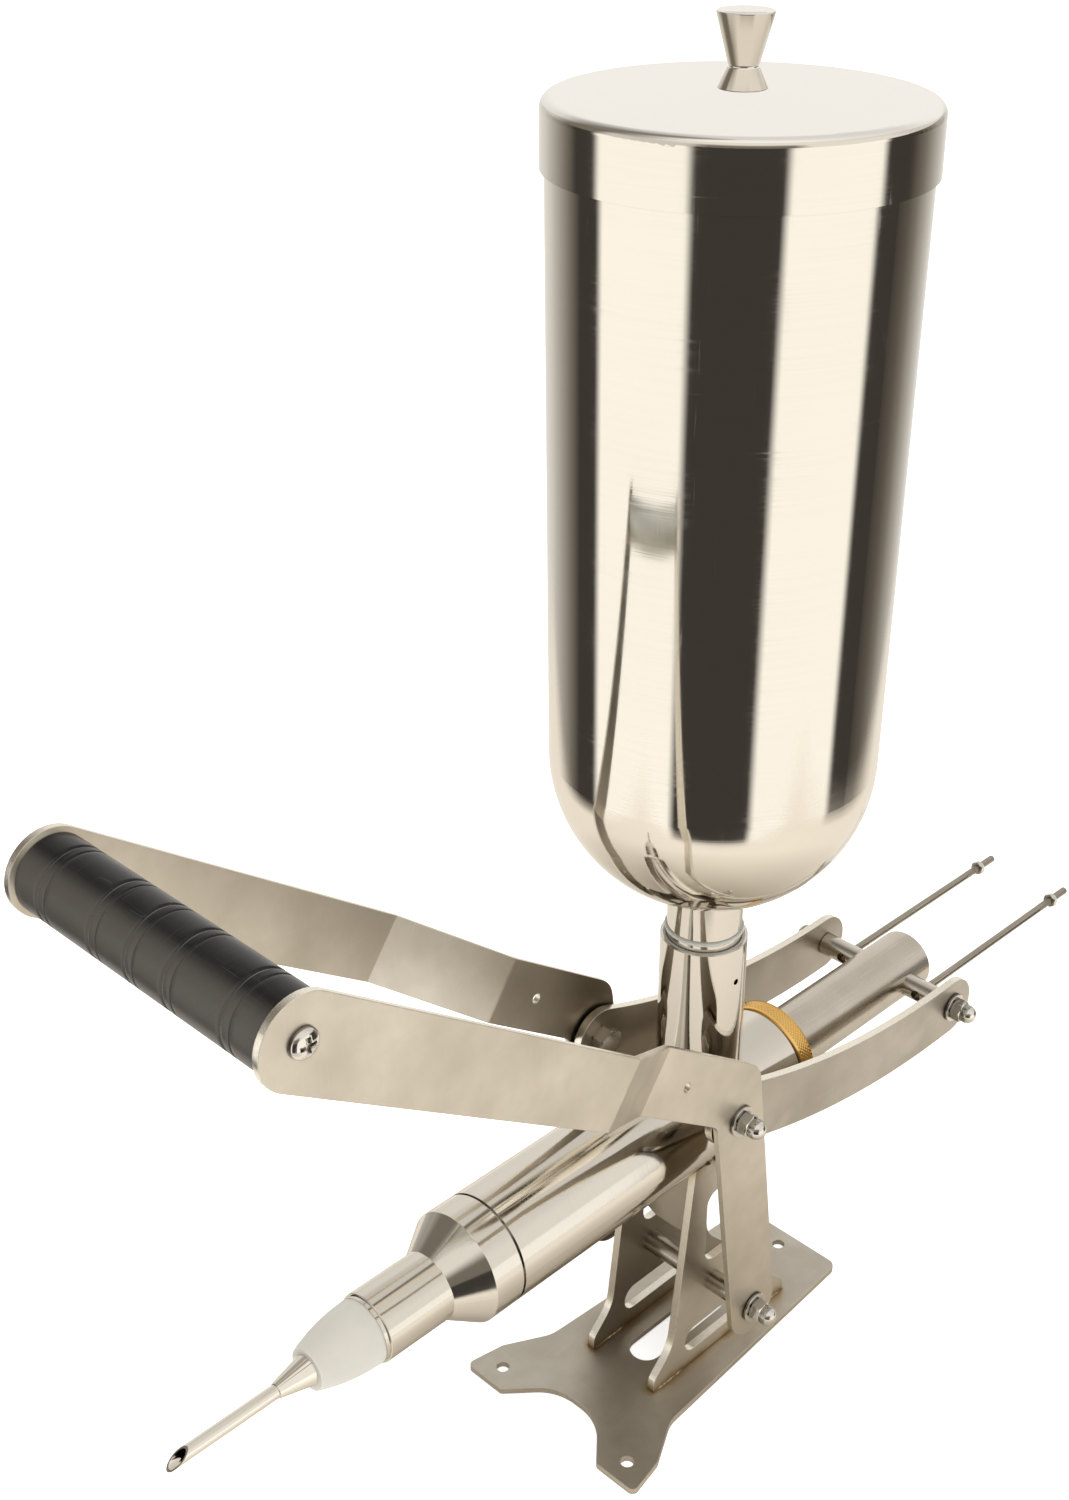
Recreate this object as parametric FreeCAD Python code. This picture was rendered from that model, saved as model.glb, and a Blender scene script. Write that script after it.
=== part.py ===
import FreeCAD, Part
import math
import os

os.makedirs("parts", exist_ok=True)

# Hand-operated donut filler: a hopper over a piston barrel, worked by a forked lever.
# Millimetres, +Z up. The barrel lies along Y with its needle toward -Y. Left is +X, right is -X.
# Places below are measured from the hopper's axis and the bench. The finished pieces are moved
# along Y as one, so that the origin is midway between the two front mounting holes.

# ---------------------------------------------------------------- driving sizes
# Base plate
plate_t = 3.0
base_rear_y = 84.5
base_rear_half = 31.4
base_rear_corner_r = 5.0
base_waist_y = -57.7
base_waist_half = 40.1
base_waist_r = 18.0
base_front_y = -80.5
base_hollow_half = 13.4
base_hollow_r = 25.0
front_hole_x = 42.0
front_hole_y = -90.4
ear_front = 11.0
ear_outer = 14.3
ear_inner = 9.8
ear_corner_r = 3.0
ear_shoulder_out = 10.4
ear_shoulder_back = 9.9
ear_shoulder_r = 4.0
rear_hole_y = 74.8
mount_hole_r = 3.25
base_slot_half = 8.2
base_slot_front_y = -39.0
base_slot_rear_y = 24.0

# Uprights and the web between them
upright_set_in = 8.1
upright_t = 4.0
upright_top_half = 23.0
upright_knee_half = 36.5
upright_knee_z = 23.0
upright_knee_r = 20.0
upright_toe_half = 49.8
upright_toe_z = 9.5
upright_toe_r = 7.5
upright_foot_half = 50.0
window_half = 15.0
window_bottom_z = 62.6
window_top_z = 105.3
window_corner_r = 7.0
foot_slot_half = 27.3
foot_slot_bottom_z = 11.5
foot_slot_height = 14.5
web_front_y = -18.0
web_t = 3.0
web_bottom_z = 77.0
web_chamfer_x = 10.8
web_chamfer_z = 4.8

# Lever pivot
pivot_y = -8.0
pivot_z = 48.0
bolt_r = 3.0
cross_tube_r = 5.75
spacer_r = 5.25

# Barrel, nose and gland
barrel_z = 140.7
barrel_r = 26.3
barrel_wall = 2.0
barrel_rear_y = 47.7
barrel_shoulder_y = -141.6
barrel_thread_len = 10.4
barrel_thread_step = 1.0
port_r = 15.0
gasket_t = 1.5
gasket_w = 2.2
nose_rim_len = 16.8
nose_cone_len = 15.9
nose_neck_len = 36.9
nose_neck_r = 16.0
nose_neck_bore_r = 12.0
nose_gap = 1.0
nose_edge_r = 0.5
neck_step_len = 2.0
neck_step = 0.8
nose_wall = 3.0
gland_flange_r = 26.9
gland_flange_t = 10.8
gland_plug_len = 6.2
gland_chamfer = 1.2
seal_t = 3.0
seal_w = 3.0

# Nozzle
nozzle_cap_len = 30.0
nozzle_cap_base_r = 15.0
nozzle_cap_mid_r = 13.7
nozzle_cap_end_r = 9.6
nozzle_cap_plug_len = 14.0
hub_stem_r = 5.1
hub_inside_len = 44.0
hub_collar_r = 7.0
hub_cone_len = 16.1
hub_tip_wall = 0.4
needle_r = 3.0
needle_wall = 0.6
needle_socket = 14.5
needle_reach = 53.4
needle_bevel_len = 10.0

# Receiver tube and hopper
receiver_r = 20.2
receiver_wall = 1.4
receiver_top_z = 238.8
vent_r = 1.5
vent_z = 221.0
hopper_top_r = 75.0
hopper_top_z = 611.5
hopper_low_r = 71.9
hopper_low_z = 336.0
hopper_wall = 1.2
spigot_r = 17.4
spigot_wall = 2.4
ring_d = 2.6
ring_proud = 1.0
upper_ring_z = 243.5
lower_ring_z = 205.0

# Lid and knob
lid_wall = 1.2
lid_over_rim = 3.4
lid_rise = 3.0
lid_skirt = 26.6
lid_edge_r = 3.0
knob_base_r = 9.6
knob_waist_r = 5.85
knob_top_r = 11.15
knob_flare_h = 8.2
knob_h = 28.2
knob_edge_r = 0.6
knob_screw_r = 2.5
knob_screw_head_r = 4.6
knob_screw_head_t = 2.6
knob_screw_edge_r = 1.0
knob_screw_len = 12.0

# Lever
lever_t = 3.0
lever_inner_x = 44.5
leg_half = 15.4
elbow_y = -25.7
elbow_z = 171.6
elbow_top_r = 17.0
elbow_inner_r = 10.0
arm_root_rise = 12.8
arm_half = 15.8
arm_bend_low = 73.5
arm_bend_high = 131.7
arm_hole_from_root = 47.4
arm_hole_r = 2.5
arm_end_r = 18.0
arm_outer_inner_x = 70.0
bend_inner_r = 2.0
grip_y = -288.0
grip_z = 368.5
sleeve_r = 16.0
sleeve_wall = 3.0
groove_places = (-53.0, -21.5, 0.0, 21.5, 53.0)
groove_pair_gap = 5.0
groove_w = 1.2
groove_depth = 0.6
screw_shank_r = 2.9
screw_len = 16.0
screw_head_r = 6.0
screw_head_t = 3.6
screw_dome_r = 3.2
cross_slot_w = 1.2
cross_slot_len = 5.4
cross_slot_depth = 1.6

# Links and what they push
link_t = 4.0
link_inner_x = 39.0
link_half = 15.2
link_sag = 9.2
bolt_head_t = 6.5
bolt_head_flats = 13.0
rear_pin_y = 152.0
stub_r = 6.0
stub_hole_x = 24.0
stub_hole_mouth_r = 2.8
stub_hole_mouth_depth = 4.0
rod_r = 2.0
rod_end_y = 289.0
rod_nut_y = 275.0
rod_nut_t = 3.2
rod_nut_flats = 7.0

# Piston
piston_tube_r = 16.0
piston_tube_wall = 2.0
piston_tube_rear_y = 170.0
head_front_y = 9.0
head_len = 20.0
head_plug_len = 10.0
ring_groove_w = 3.2
ring_groove_depth = 2.2
ring_groove_places = (3.4, 13.4)

# Washers and nuts (M6)
washer_r = 7.5
washer_t = 1.5
nut_flats = 10.0
nut_hex_t = 5.5
nut_h = 12.0
nut_dome_r = 4.75
nut_bore_depth = 9.0
hex_corner_chamfer = 0.6

# Clearances
face_gap = 0.3
running = 0.1
slide_fit = 0.05
head_clearance = 0.15
ring_fit = 0.05
thread_fit = 0.05
lid_clearance = 0.4
same_point = 1e-6

# ---------------------------------------------------------------- derived places
V = FreeCAD.Vector
X, Y, Z = V(1, 0, 0), V(0, 1, 0), V(0, 0, 1)

upright_inner_x = barrel_r - upright_set_in
upright_outer_x = upright_inner_x + upright_t
lever_outer_x = lever_inner_x + lever_t
link_outer_x = link_inner_x + link_t
arm_outer_x = arm_outer_inner_x + lever_t
barrel_bore_r = barrel_r - barrel_wall
barrel_thread_r = barrel_r - barrel_thread_step
barrel_thread_end_y = barrel_shoulder_y - barrel_thread_len
nose_seat_y = barrel_thread_end_y - gasket_t
nose_rim_y = barrel_shoulder_y - nose_rim_len
nose_neck_y = nose_rim_y - nose_cone_len
nose_end_y = nose_neck_y - nose_neck_len
cap_end_y = nose_end_y - nozzle_cap_len
hub_end_y = cap_end_y - hub_cone_len
needle_rear_y = hub_end_y + needle_socket
needle_tip_y = hub_end_y - needle_reach
receiver_bore_r = receiver_r - receiver_wall
barrel_crown_z = barrel_z + barrel_r
spigot_foot_z = barrel_crown_z + face_gap
lid_top_z = hopper_top_z + lid_over_rim
gland_flange_y = barrel_rear_y + face_gap
bolt_hole_r = bolt_r + running
piston_bore_r = piston_tube_r - piston_tube_wall
axis_low = V(0, 0, barrel_z)
pivot = (pivot_y, pivot_z)
elbow = (elbow_y, elbow_z)
grip = (grip_y, grip_z)
rear_pin = (rear_pin_y, barrel_z)


# ---------------------------------------------------------------- helpers
def unit(a, b):
    """Unit vector from a to b, both pairs."""
    length = math.hypot(b[0] - a[0], b[1] - a[1])
    return ((b[0] - a[0]) / length, (b[1] - a[1]) / length)


def shifted(point, direction, distance):
    """The pair that lies a distance from a point along a direction."""
    return (point[0] + direction[0] * distance, point[1] + direction[1] * distance)


def meet(p, u, q, w):
    """Where the line through p along u crosses the line through q along w."""
    cross = u[0] * w[1] - u[1] * w[0]
    step = ((q[0] - p[0]) * w[1] - (q[1] - p[1]) * w[0]) / cross
    return shifted(p, u, step)


def rounded_corner(before, corner, after, radius):
    """Start, middle and end of the arc that rounds one corner of an outline."""
    to_before = unit(corner, before)
    to_after = unit(corner, after)
    half = math.acos(to_before[0] * to_after[0] + to_before[1] * to_after[1]) / 2
    shorter_side = min(math.dist(before, corner), math.dist(corner, after))
    radius = min(radius, 0.49 * shorter_side * math.tan(half))
    reach = radius / math.tan(half)
    inward = unit((0, 0), (to_before[0] + to_after[0], to_before[1] + to_after[1]))
    middle = shifted(corner, inward, radius / math.sin(half) - radius)
    return shifted(corner, to_before, reach), middle, shifted(corner, to_after, reach)


def outline_face(corners, place):
    """Flat face inside an outline of (a, b) or (a, b, corner radius) points."""
    edges = []
    ends = []
    count = len(corners)
    for index, point in enumerate(corners):
        here = point[:2]
        if len(point) == 3 and point[2] > 0:
            before = corners[index - 1][:2]
            after = corners[(index + 1) % count][:2]
            start, middle, end = rounded_corner(before, here, after, point[2])
            edges.append(Part.Arc(place(*start), place(*middle), place(*end)).toShape())
            ends.append((start, end))
        else:
            ends.append((here, here))
    for index in range(count):
        start = place(*ends[index][1])
        end = place(*ends[(index + 1) % count][0])
        if start.distanceToPoint(end) > same_point:
            edges.append(Part.makeLine(start, end))
    wire = Part.Wire(Part.__sortEdges__(edges))
    return Part.Face(wire)


def plate_x(corners, x_from, x_to):
    """Plate square to X with its outline given as (y, z) points."""
    face = outline_face(corners, lambda y, z: V(x_from, y, z))
    return face.extrude(V(x_to - x_from, 0, 0))


def plate_z(corners, z_from, z_to):
    """Plate square to Z with its outline given as (x, y) points."""
    face = outline_face(corners, lambda x, y: V(x, y, z_from))
    return face.extrude(V(0, 0, z_to - z_from))


def turned(corners, base, axis, radial):
    """Solid of revolution: (radius, station along the axis) points turned about the axis."""
    face = outline_face(corners, lambda r, s: base + radial * r + axis * s)
    return face.revolve(base, axis, 360)


def turned_y(corners):
    """Solid turned about the barrel's axis from (radius, y) points."""
    return turned(corners, axis_low, Y, X)


def turned_z(corners):
    """Solid turned about the hopper's axis from (radius, z) points."""
    return turned(corners, V(0, 0, 0), Z, X)


def pin_x(radius, x_from, x_to, place):
    """Round bar along X at a (y, z) place."""
    return Part.makeCylinder(radius, x_to - x_from, V(x_from, *place), X)


def pin_y(radius, y_from, y_to, x=0.0):
    """Round bar along Y at the barrel's height."""
    return Part.makeCylinder(radius, y_to - y_from, V(x, y_from, barrel_z), Y)


def pin_z(radius, z_from, z_to, x=0.0, y=0.0):
    """Round bar along Z."""
    return Part.makeCylinder(radius, z_to - z_from, V(x, y, z_from), Z)


def mirrored(shape):
    return shape.mirror(V(0, 0, 0), X)


def both_sides(shape):
    """The left piece and its mirror twin, as two separate solids."""
    return Part.makeCompound([shape, mirrored(shape)])


def hexagon(flats, base, axis, radial, height):
    """Hexagon bar with its corners turned off at both ends."""
    side = axis.cross(radial)
    corner_r = flats / math.sqrt(3)
    points = []
    for index in range(7):
        angle = math.radians(60 * index)
        points.append(base + radial * (corner_r * math.cos(angle)) + side * (corner_r * math.sin(angle)))
    bar = Part.Face(Part.makePolygon(points)).extrude(axis * height)
    drop = hex_corner_chamfer
    low_r = corner_r - drop
    turned_bar = [
        (0, 0),
        (low_r, 0),
        (corner_r, drop),
        (corner_r, height - drop),
        (low_r, height),
        (0, height),
    ]
    return bar.common(turned(turned_bar, base, axis, radial))


def acorn_nut(x_from, place):
    """Closed M6 nut whose flat face is at x_from and whose dome points to +X."""
    base = V(x_from, *place)
    nut = hexagon(nut_flats, base, X, Z, nut_hex_t)
    dome_foot = nut_h - nut_dome_r
    dome = turned([(0, 0), (nut_dome_r, 0), (nut_dome_r, dome_foot), (0, dome_foot)], base, X, Z)
    ball = Part.makeSphere(nut_dome_r, base + X * dome_foot)
    bore = pin_x(bolt_r + thread_fit, x_from, x_from + nut_bore_depth, place)
    return nut.fuse([dome, ball]).removeSplitter().cut(bore)


def washer(x_from, place):
    ring = pin_x(washer_r, x_from, x_from + washer_t, place)
    return ring.cut(pin_x(bolt_hole_r, x_from, x_from + washer_t, place))


def save(name, shape):
    """Write one piece, moved so that the origin lies between the front mounting holes."""
    moved = shape.copy()
    moved.translate(V(0, -front_hole_y, 0))
    moved.exportStep("parts/" + name + ".step")


# ---------------------------------------------------------------- stand
def base_plate():
    """Flat plate with two square ears at the front and a hollow between them."""
    ear_front_y = front_hole_y - ear_front
    right_half = [
        (base_rear_half, base_rear_y, base_rear_corner_r),
        (base_waist_half, base_waist_y, base_waist_r),
        (front_hole_x + ear_shoulder_out, front_hole_y + ear_shoulder_back, ear_shoulder_r),
        (front_hole_x + ear_outer, ear_front_y, ear_corner_r),
        (front_hole_x - ear_inner, ear_front_y, ear_corner_r),
        (base_hollow_half, base_front_y, base_hollow_r),
    ]
    left_half = [(-point[0], *point[1:]) for point in reversed(right_half)]
    plate = plate_z(right_half + left_half, 0, plate_t)
    slot = [
        (base_slot_half, base_slot_front_y, base_slot_half),
        (base_slot_half, base_slot_rear_y, base_slot_half),
        (-base_slot_half, base_slot_rear_y, base_slot_half),
        (-base_slot_half, base_slot_front_y, base_slot_half),
    ]
    holes = [plate_z(slot, 0, plate_t), pin_z(mount_hole_r, 0, plate_t, 0, rear_hole_y)]
    for x in (front_hole_x, -front_hole_x):
        holes.append(pin_z(mount_hole_r, 0, plate_t, x, front_hole_y))
    return plate.cut(holes)


def upright():
    """Left upright: a waisted plate under the barrel with two windows and the pivot hole."""
    front = [
        (-upright_top_half, barrel_z),
        (-upright_knee_half, upright_knee_z, upright_knee_r),
        (-upright_toe_half, upright_toe_z, upright_toe_r),
        (-upright_foot_half, plate_t),
    ]
    rear = [(-point[0], *point[1:]) for point in reversed(front)]
    plate = plate_x(front + rear, upright_inner_x, upright_outer_x)
    window = [
        (-window_half, window_bottom_z, window_corner_r),
        (window_half, window_bottom_z, window_corner_r),
        (window_half, window_top_z, window_corner_r),
        (-window_half, window_top_z, window_corner_r),
    ]
    slot_top_z = foot_slot_bottom_z + foot_slot_height
    slot = [
        (-foot_slot_half, foot_slot_bottom_z, foot_slot_height / 2),
        (foot_slot_half, foot_slot_bottom_z, foot_slot_height / 2),
        (foot_slot_half, slot_top_z, foot_slot_height / 2),
        (-foot_slot_half, slot_top_z, foot_slot_height / 2),
    ]
    openings = [
        plate_x(window, upright_inner_x, upright_outer_x),
        plate_x(slot, upright_inner_x, upright_outer_x),
        pin_x(bolt_hole_r, upright_inner_x, upright_outer_x, pivot),
        pin_y(barrel_r, -upright_foot_half, upright_foot_half),
    ]
    return plate.cut(openings)


def cross_web():
    """Web that ties the uprights together under the barrel."""
    corner_x = upright_inner_x - web_chamfer_x
    side_z = web_bottom_z + web_chamfer_z
    corners = [
        (-upright_inner_x, barrel_z),
        (-upright_inner_x, side_z),
        (-corner_x, web_bottom_z),
        (corner_x, web_bottom_z),
        (upright_inner_x, side_z),
        (upright_inner_x, barrel_z),
    ]
    face = outline_face(corners, lambda x, z: V(x, web_front_y, z))
    web = face.extrude(V(0, web_t, 0))
    return web.cut(pin_y(barrel_r, web_front_y - web_t, web_front_y + 2 * web_t))


def pivot_cross_tube():
    tube = pin_x(cross_tube_r, -upright_inner_x, upright_inner_x, pivot)
    return tube.cut(pin_x(bolt_hole_r, -upright_inner_x, upright_inner_x, pivot))


def pivot_spacer():
    end_x = lever_inner_x - face_gap
    tube = pin_x(spacer_r, upright_outer_x, end_x, pivot)
    return tube.cut(pin_x(bolt_hole_r, upright_outer_x, end_x, pivot))


# ---------------------------------------------------------------- barrel, nose and nozzle
def barrel():
    """Cylinder tube with a stepped thread at the front and a filling port on top."""
    corners = [
        (barrel_bore_r, barrel_rear_y),
        (barrel_r, barrel_rear_y),
        (barrel_r, barrel_shoulder_y),
        (barrel_thread_r, barrel_shoulder_y),
        (barrel_thread_r, barrel_thread_end_y),
        (barrel_bore_r, barrel_thread_end_y),
    ]
    return turned_y(corners).cut(pin_z(port_r, barrel_z, barrel_crown_z))


def receiver_tube():
    """Upright tube, saddled onto the barrel, that the hopper's spigot drops into."""
    tube = pin_z(receiver_r, barrel_z, receiver_top_z)
    tube = tube.cut(pin_z(receiver_bore_r, barrel_z, receiver_top_z))
    tube = tube.cut(pin_y(barrel_r, -receiver_r, receiver_r))
    return tube.cut(pin_x(vent_r, 0, receiver_r, (0, vent_z)))


def nose_cap():
    """Screwed nose: rim over the barrel's thread, cone, and neck with a stepped end."""
    bore_r = barrel_thread_r + thread_fit
    corners = [
        (bore_r, barrel_shoulder_y - nose_gap),
        (barrel_r, barrel_shoulder_y - nose_gap, nose_edge_r),
        (barrel_r, nose_rim_y, nose_edge_r),
        (nose_neck_r, nose_neck_y, nose_edge_r),
        (nose_neck_r, nose_end_y + neck_step_len, nose_edge_r),
        (nose_neck_r - neck_step, nose_end_y + neck_step_len),
        (nose_neck_r - neck_step, nose_end_y),
        (nose_neck_bore_r, nose_end_y),
        (nose_neck_bore_r, nose_neck_y),
        (barrel_r - nose_wall - barrel_wall, nose_seat_y),
        (bore_r, nose_seat_y),
    ]
    return turned_y(corners)


def nose_gasket():
    outer = barrel_thread_r
    inner = outer - gasket_w
    return turned_y([
        (inner, nose_seat_y),
        (outer, nose_seat_y),
        (outer, barrel_thread_end_y),
        (inner, barrel_thread_end_y),
    ])


def gland_nut():
    """Rear nut: its flange closes the barrel and its bore guides the piston tube."""
    plug_y = barrel_rear_y - gland_plug_len
    flange_rear_y = gland_flange_y + gland_flange_t
    bore_r = piston_tube_r + slide_fit
    plug_r = barrel_bore_r - thread_fit
    seal_r = bore_r + seal_w
    corners = [
        (seal_r, plug_y),
        (plug_r, plug_y),
        (plug_r, gland_flange_y),
        (gland_flange_r, gland_flange_y, gland_chamfer),
        (gland_flange_r, flange_rear_y, gland_chamfer),
        (bore_r, flange_rear_y),
        (bore_r, plug_y + seal_t),
        (seal_r, plug_y + seal_t),
    ]
    return turned_y(corners)


def gland_seal():
    plug_y = barrel_rear_y - gland_plug_len
    inner = piston_tube_r + slide_fit
    outer = inner + seal_w
    return turned_y([(inner, plug_y), (outer, plug_y), (outer, plug_y + seal_t), (inner, plug_y + seal_t)])


def nozzle_cap():
    """Plastic cap plugged into the neck, rounded down to the needle's hub."""
    plug_r = nose_neck_bore_r - thread_fit
    hole_r = hub_stem_r + thread_fit
    plug_y = nose_end_y + nozzle_cap_plug_len
    middle_y = (nose_end_y + cap_end_y) / 2
    place = [V(r, y, barrel_z) for r, y in (
        (hole_r, plug_y),
        (plug_r, plug_y),
        (plug_r, nose_end_y),
        (nozzle_cap_base_r, nose_end_y),
        (nozzle_cap_mid_r, middle_y),
        (nozzle_cap_end_r, cap_end_y),
        (hole_r, cap_end_y),
    )]
    edges = [Part.makeLine(place[index], place[index + 1]) for index in (0, 1, 2, 5)]
    edges.append(Part.Arc(place[3], place[4], place[5]).toShape())
    edges.append(Part.makeLine(place[6], place[0]))
    face = Part.Face(Part.Wire(Part.__sortEdges__(edges)))
    return face.revolve(axis_low, Y, 360)


def nozzle_hub():
    """Metal hub: a stem through the cap and a cone that holds the needle."""
    flow_r = needle_r - needle_wall
    corners = [
        (flow_r, cap_end_y + hub_inside_len),
        (hub_stem_r, cap_end_y + hub_inside_len),
        (hub_stem_r, cap_end_y),
        (hub_collar_r, cap_end_y),
        (needle_r + hub_tip_wall, hub_end_y),
        (needle_r, hub_end_y),
        (needle_r, needle_rear_y),
        (flow_r, needle_rear_y),
    ]
    return turned_y(corners)


def needle():
    """Filling tube with a slanting mouth that opens upward."""
    tube = pin_y(needle_r, needle_tip_y, needle_rear_y)
    tube = tube.cut(pin_y(needle_r - needle_wall, needle_tip_y, needle_rear_y))
    bevel = [
        (needle_tip_y, barrel_z - needle_r),
        (needle_tip_y + needle_bevel_len, barrel_z + needle_r),
        (needle_tip_y, barrel_z + needle_r),
    ]
    return tube.cut(plate_x(bevel, -needle_r, needle_r))


# ---------------------------------------------------------------- hopper and lid
def hopper_profile(inset):
    """Edges of the hopper's side and round bottom, moved inward by an inset, from rim to axis."""
    radius = hopper_low_r - inset
    half_way = radius * math.sqrt(0.5)
    rim = V(hopper_top_r - inset, 0, hopper_top_z)
    shoulder = V(radius, 0, hopper_low_z)
    middle = V(half_way, 0, hopper_low_z - half_way)
    foot = V(0, 0, hopper_low_z - radius)
    edges = [Part.makeLine(rim, shoulder), Part.Arc(shoulder, middle, foot).toShape()]
    return edges, rim, foot


def hopper_shell():
    """Thin tapered bowl with a round bottom, open at the top and at the spigot."""
    outside, outer_rim, outer_foot = hopper_profile(0)
    inside, inner_rim, inner_foot = hopper_profile(hopper_wall)
    edges = outside + inside
    edges.append(Part.makeLine(outer_rim, inner_rim))
    edges.append(Part.makeLine(outer_foot, inner_foot))
    shell = Part.Face(Part.Wire(Part.__sortEdges__(edges))).revolve(V(0, 0, 0), Z, 360)
    return shell.cut(pin_z(spigot_r, 0, hopper_low_z))


def hopper_spigot():
    """Outlet tube welded into the bowl, grooved for its two rings."""
    top_z = hopper_low_z - math.sqrt(hopper_low_r ** 2 - spigot_r ** 2) + hopper_wall
    tube = pin_z(spigot_r, spigot_foot_z, top_z)
    tube = tube.cut(pin_z(spigot_r - spigot_wall, spigot_foot_z, top_z))
    grooves = [ring_solid(ring_z) for ring_z in (upper_ring_z, lower_ring_z)]
    return tube.cut(grooves)


def ring_solid(ring_z):
    """One round-section ring that stands proud of the spigot."""
    centre_r = spigot_r + ring_proud - ring_d / 2
    return Part.makeTorus(centre_r, ring_d / 2, V(0, 0, ring_z), Z)


def hopper_rings():
    return Part.makeCompound([ring_solid(upper_ring_z), ring_solid(lower_ring_z)])


def lid_shell():
    """Drawn cap: nearly flat crown, rounded rim and a skirt over the hopper."""
    inner_r = hopper_top_r + lid_clearance
    outer_r = inner_r + lid_wall
    skirt_z = lid_top_z - lid_skirt
    crown_z = lid_top_z + lid_rise
    corners = [
        (0, crown_z),
        (knob_base_r, crown_z),
        (outer_r, lid_top_z, lid_edge_r + lid_wall),
        (outer_r, skirt_z),
        (inner_r, skirt_z),
        (inner_r, lid_top_z - lid_wall, lid_edge_r),
        (knob_base_r, crown_z - lid_wall),
        (0, crown_z - lid_wall),
    ]
    hole = pin_z(knob_screw_r + running, lid_top_z - lid_skirt, crown_z)
    return turned_z(corners).cut(hole)


def lid_knob():
    base_z = lid_top_z + lid_rise
    corners = [
        (0, base_z),
        (knob_base_r, base_z),
        (knob_waist_r, base_z + knob_flare_h),
        (knob_top_r, base_z + knob_h, knob_edge_r),
        (0, base_z + knob_h),
    ]
    hole = pin_z(knob_screw_r + thread_fit, base_z, base_z + knob_screw_len)
    return turned_z(corners).cut(hole)


def knob_screw():
    under_z = lid_top_z + lid_rise - lid_wall
    tip_z = lid_top_z + lid_rise + knob_screw_len
    corners = [
        (0, under_z - knob_screw_head_t),
        (knob_screw_head_r, under_z - knob_screw_head_t, knob_screw_edge_r),
        (knob_screw_head_r, under_z),
        (knob_screw_r, under_z),
        (knob_screw_r, tip_z),
        (0, tip_z),
    ]
    return turned_z(corners)


# ---------------------------------------------------------------- lever
def lever_side():
    """Side outline of one lever arm as a solid block, before the two bends are cut from it."""
    up_leg = unit(pivot, elbow)
    leg_back = (up_leg[1], -up_leg[0])
    root = (elbow_y, elbow_z + arm_root_rise)
    along = unit(root, grip)
    above = (-along[1], along[0])
    if above[1] < 0:
        above = (-above[0], -above[1])
    leg_front = shifted(pivot, leg_back, -leg_half)
    leg_rear = shifted(pivot, leg_back, leg_half)
    low_line = shifted(root, above, -arm_half)
    high_line = shifted(root, above, arm_half)
    bend = shifted(root, along, arm_bend_high)
    corners = [
        leg_front,
        (*meet(leg_front, up_leg, low_line, along), elbow_inner_r),
        shifted(bend, above, -arm_half),
        shifted(grip, above, -arm_end_r),
        shifted(grip, above, arm_end_r),
        shifted(bend, above, arm_half),
        (*meet(leg_rear, up_leg, high_line, along), elbow_top_r),
        leg_rear,
    ]
    block = plate_x(corners, lever_inner_x, arm_outer_x)
    ends = [
        pin_x(leg_half, lever_inner_x, arm_outer_x, pivot),
        pin_x(arm_end_r, lever_inner_x, arm_outer_x, grip),
    ]
    return block.fuse(ends).removeSplitter(), root, along, above


def lever_arm():
    """Left arm: a flat bar, bent outward and then straight again toward the grip."""
    side, root, along, above = lever_side()
    length = math.dist(root, grip) + arm_end_r
    leg_length = math.dist(pivot, root) + leg_half
    run = arm_bend_high - arm_bend_low
    slant = math.atan2(arm_outer_x - lever_outer_x, run)
    mitre = lever_t * math.tan(slant / 2)
    bend_outer_r = bend_inner_r + lever_t
    corners = [
        (-leg_length, lever_inner_x),
        (arm_bend_low + mitre, lever_inner_x, bend_outer_r),
        (arm_bend_high + mitre, arm_outer_inner_x, bend_inner_r),
        (length, arm_outer_inner_x),
        (length, arm_outer_x),
        (arm_bend_high, arm_outer_x, bend_outer_r),
        (arm_bend_low, lever_outer_x, bend_inner_r),
        (-leg_length, lever_outer_x),
    ]
    reach = leg_length + arm_half
    start = shifted(root, above, -reach)
    face = outline_face(corners, lambda s, x: V(x, *shifted(start, along, s)))
    bent = face.extrude(V(0, above[0], above[1]) * (2 * reach))
    arm = side.common(bent)
    hole_place = shifted(root, along, arm_hole_from_root)
    holes = [
        pin_x(bolt_hole_r, lever_inner_x, lever_outer_x, pivot),
        pin_x(bolt_hole_r, lever_inner_x, lever_outer_x, elbow),
        pin_x(arm_hole_r, lever_inner_x, lever_outer_x, hole_place),
        pin_x(screw_shank_r + running, arm_outer_inner_x, arm_outer_x, grip),
    ]
    return arm.cut(holes)


def grip_core():
    """Rod between the arms, tapped at both ends for the grip screws."""
    core_r = sleeve_r - sleeve_wall - slide_fit
    core = pin_x(core_r, -arm_outer_inner_x, arm_outer_inner_x, grip)
    tapped = screw_len - lever_t + running
    ends = [
        pin_x(screw_shank_r + thread_fit, arm_outer_inner_x - tapped, arm_outer_inner_x, grip),
        pin_x(screw_shank_r + thread_fit, -arm_outer_inner_x, -arm_outer_inner_x + tapped, grip),
    ]
    return core.cut(ends)


def grip_sleeve():
    """Sleeve over the rod with pairs of shallow grooves."""
    half = arm_outer_inner_x - face_gap
    bottom_r = sleeve_r - groove_depth
    top = [(sleeve_r, -half, groove_depth)]
    for centre in groove_places:
        for offset in (-groove_pair_gap / 2, groove_pair_gap / 2):
            place = centre + offset
            top.append((sleeve_r, place - groove_w / 2))
            top.append((bottom_r, place))
            top.append((sleeve_r, place + groove_w / 2))
    top.append((sleeve_r, half, groove_depth))
    bore_r = sleeve_r - sleeve_wall
    corners = top + [(bore_r, half), (bore_r, -half)]
    return turned(corners, V(0, *grip), X, Z)


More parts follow.
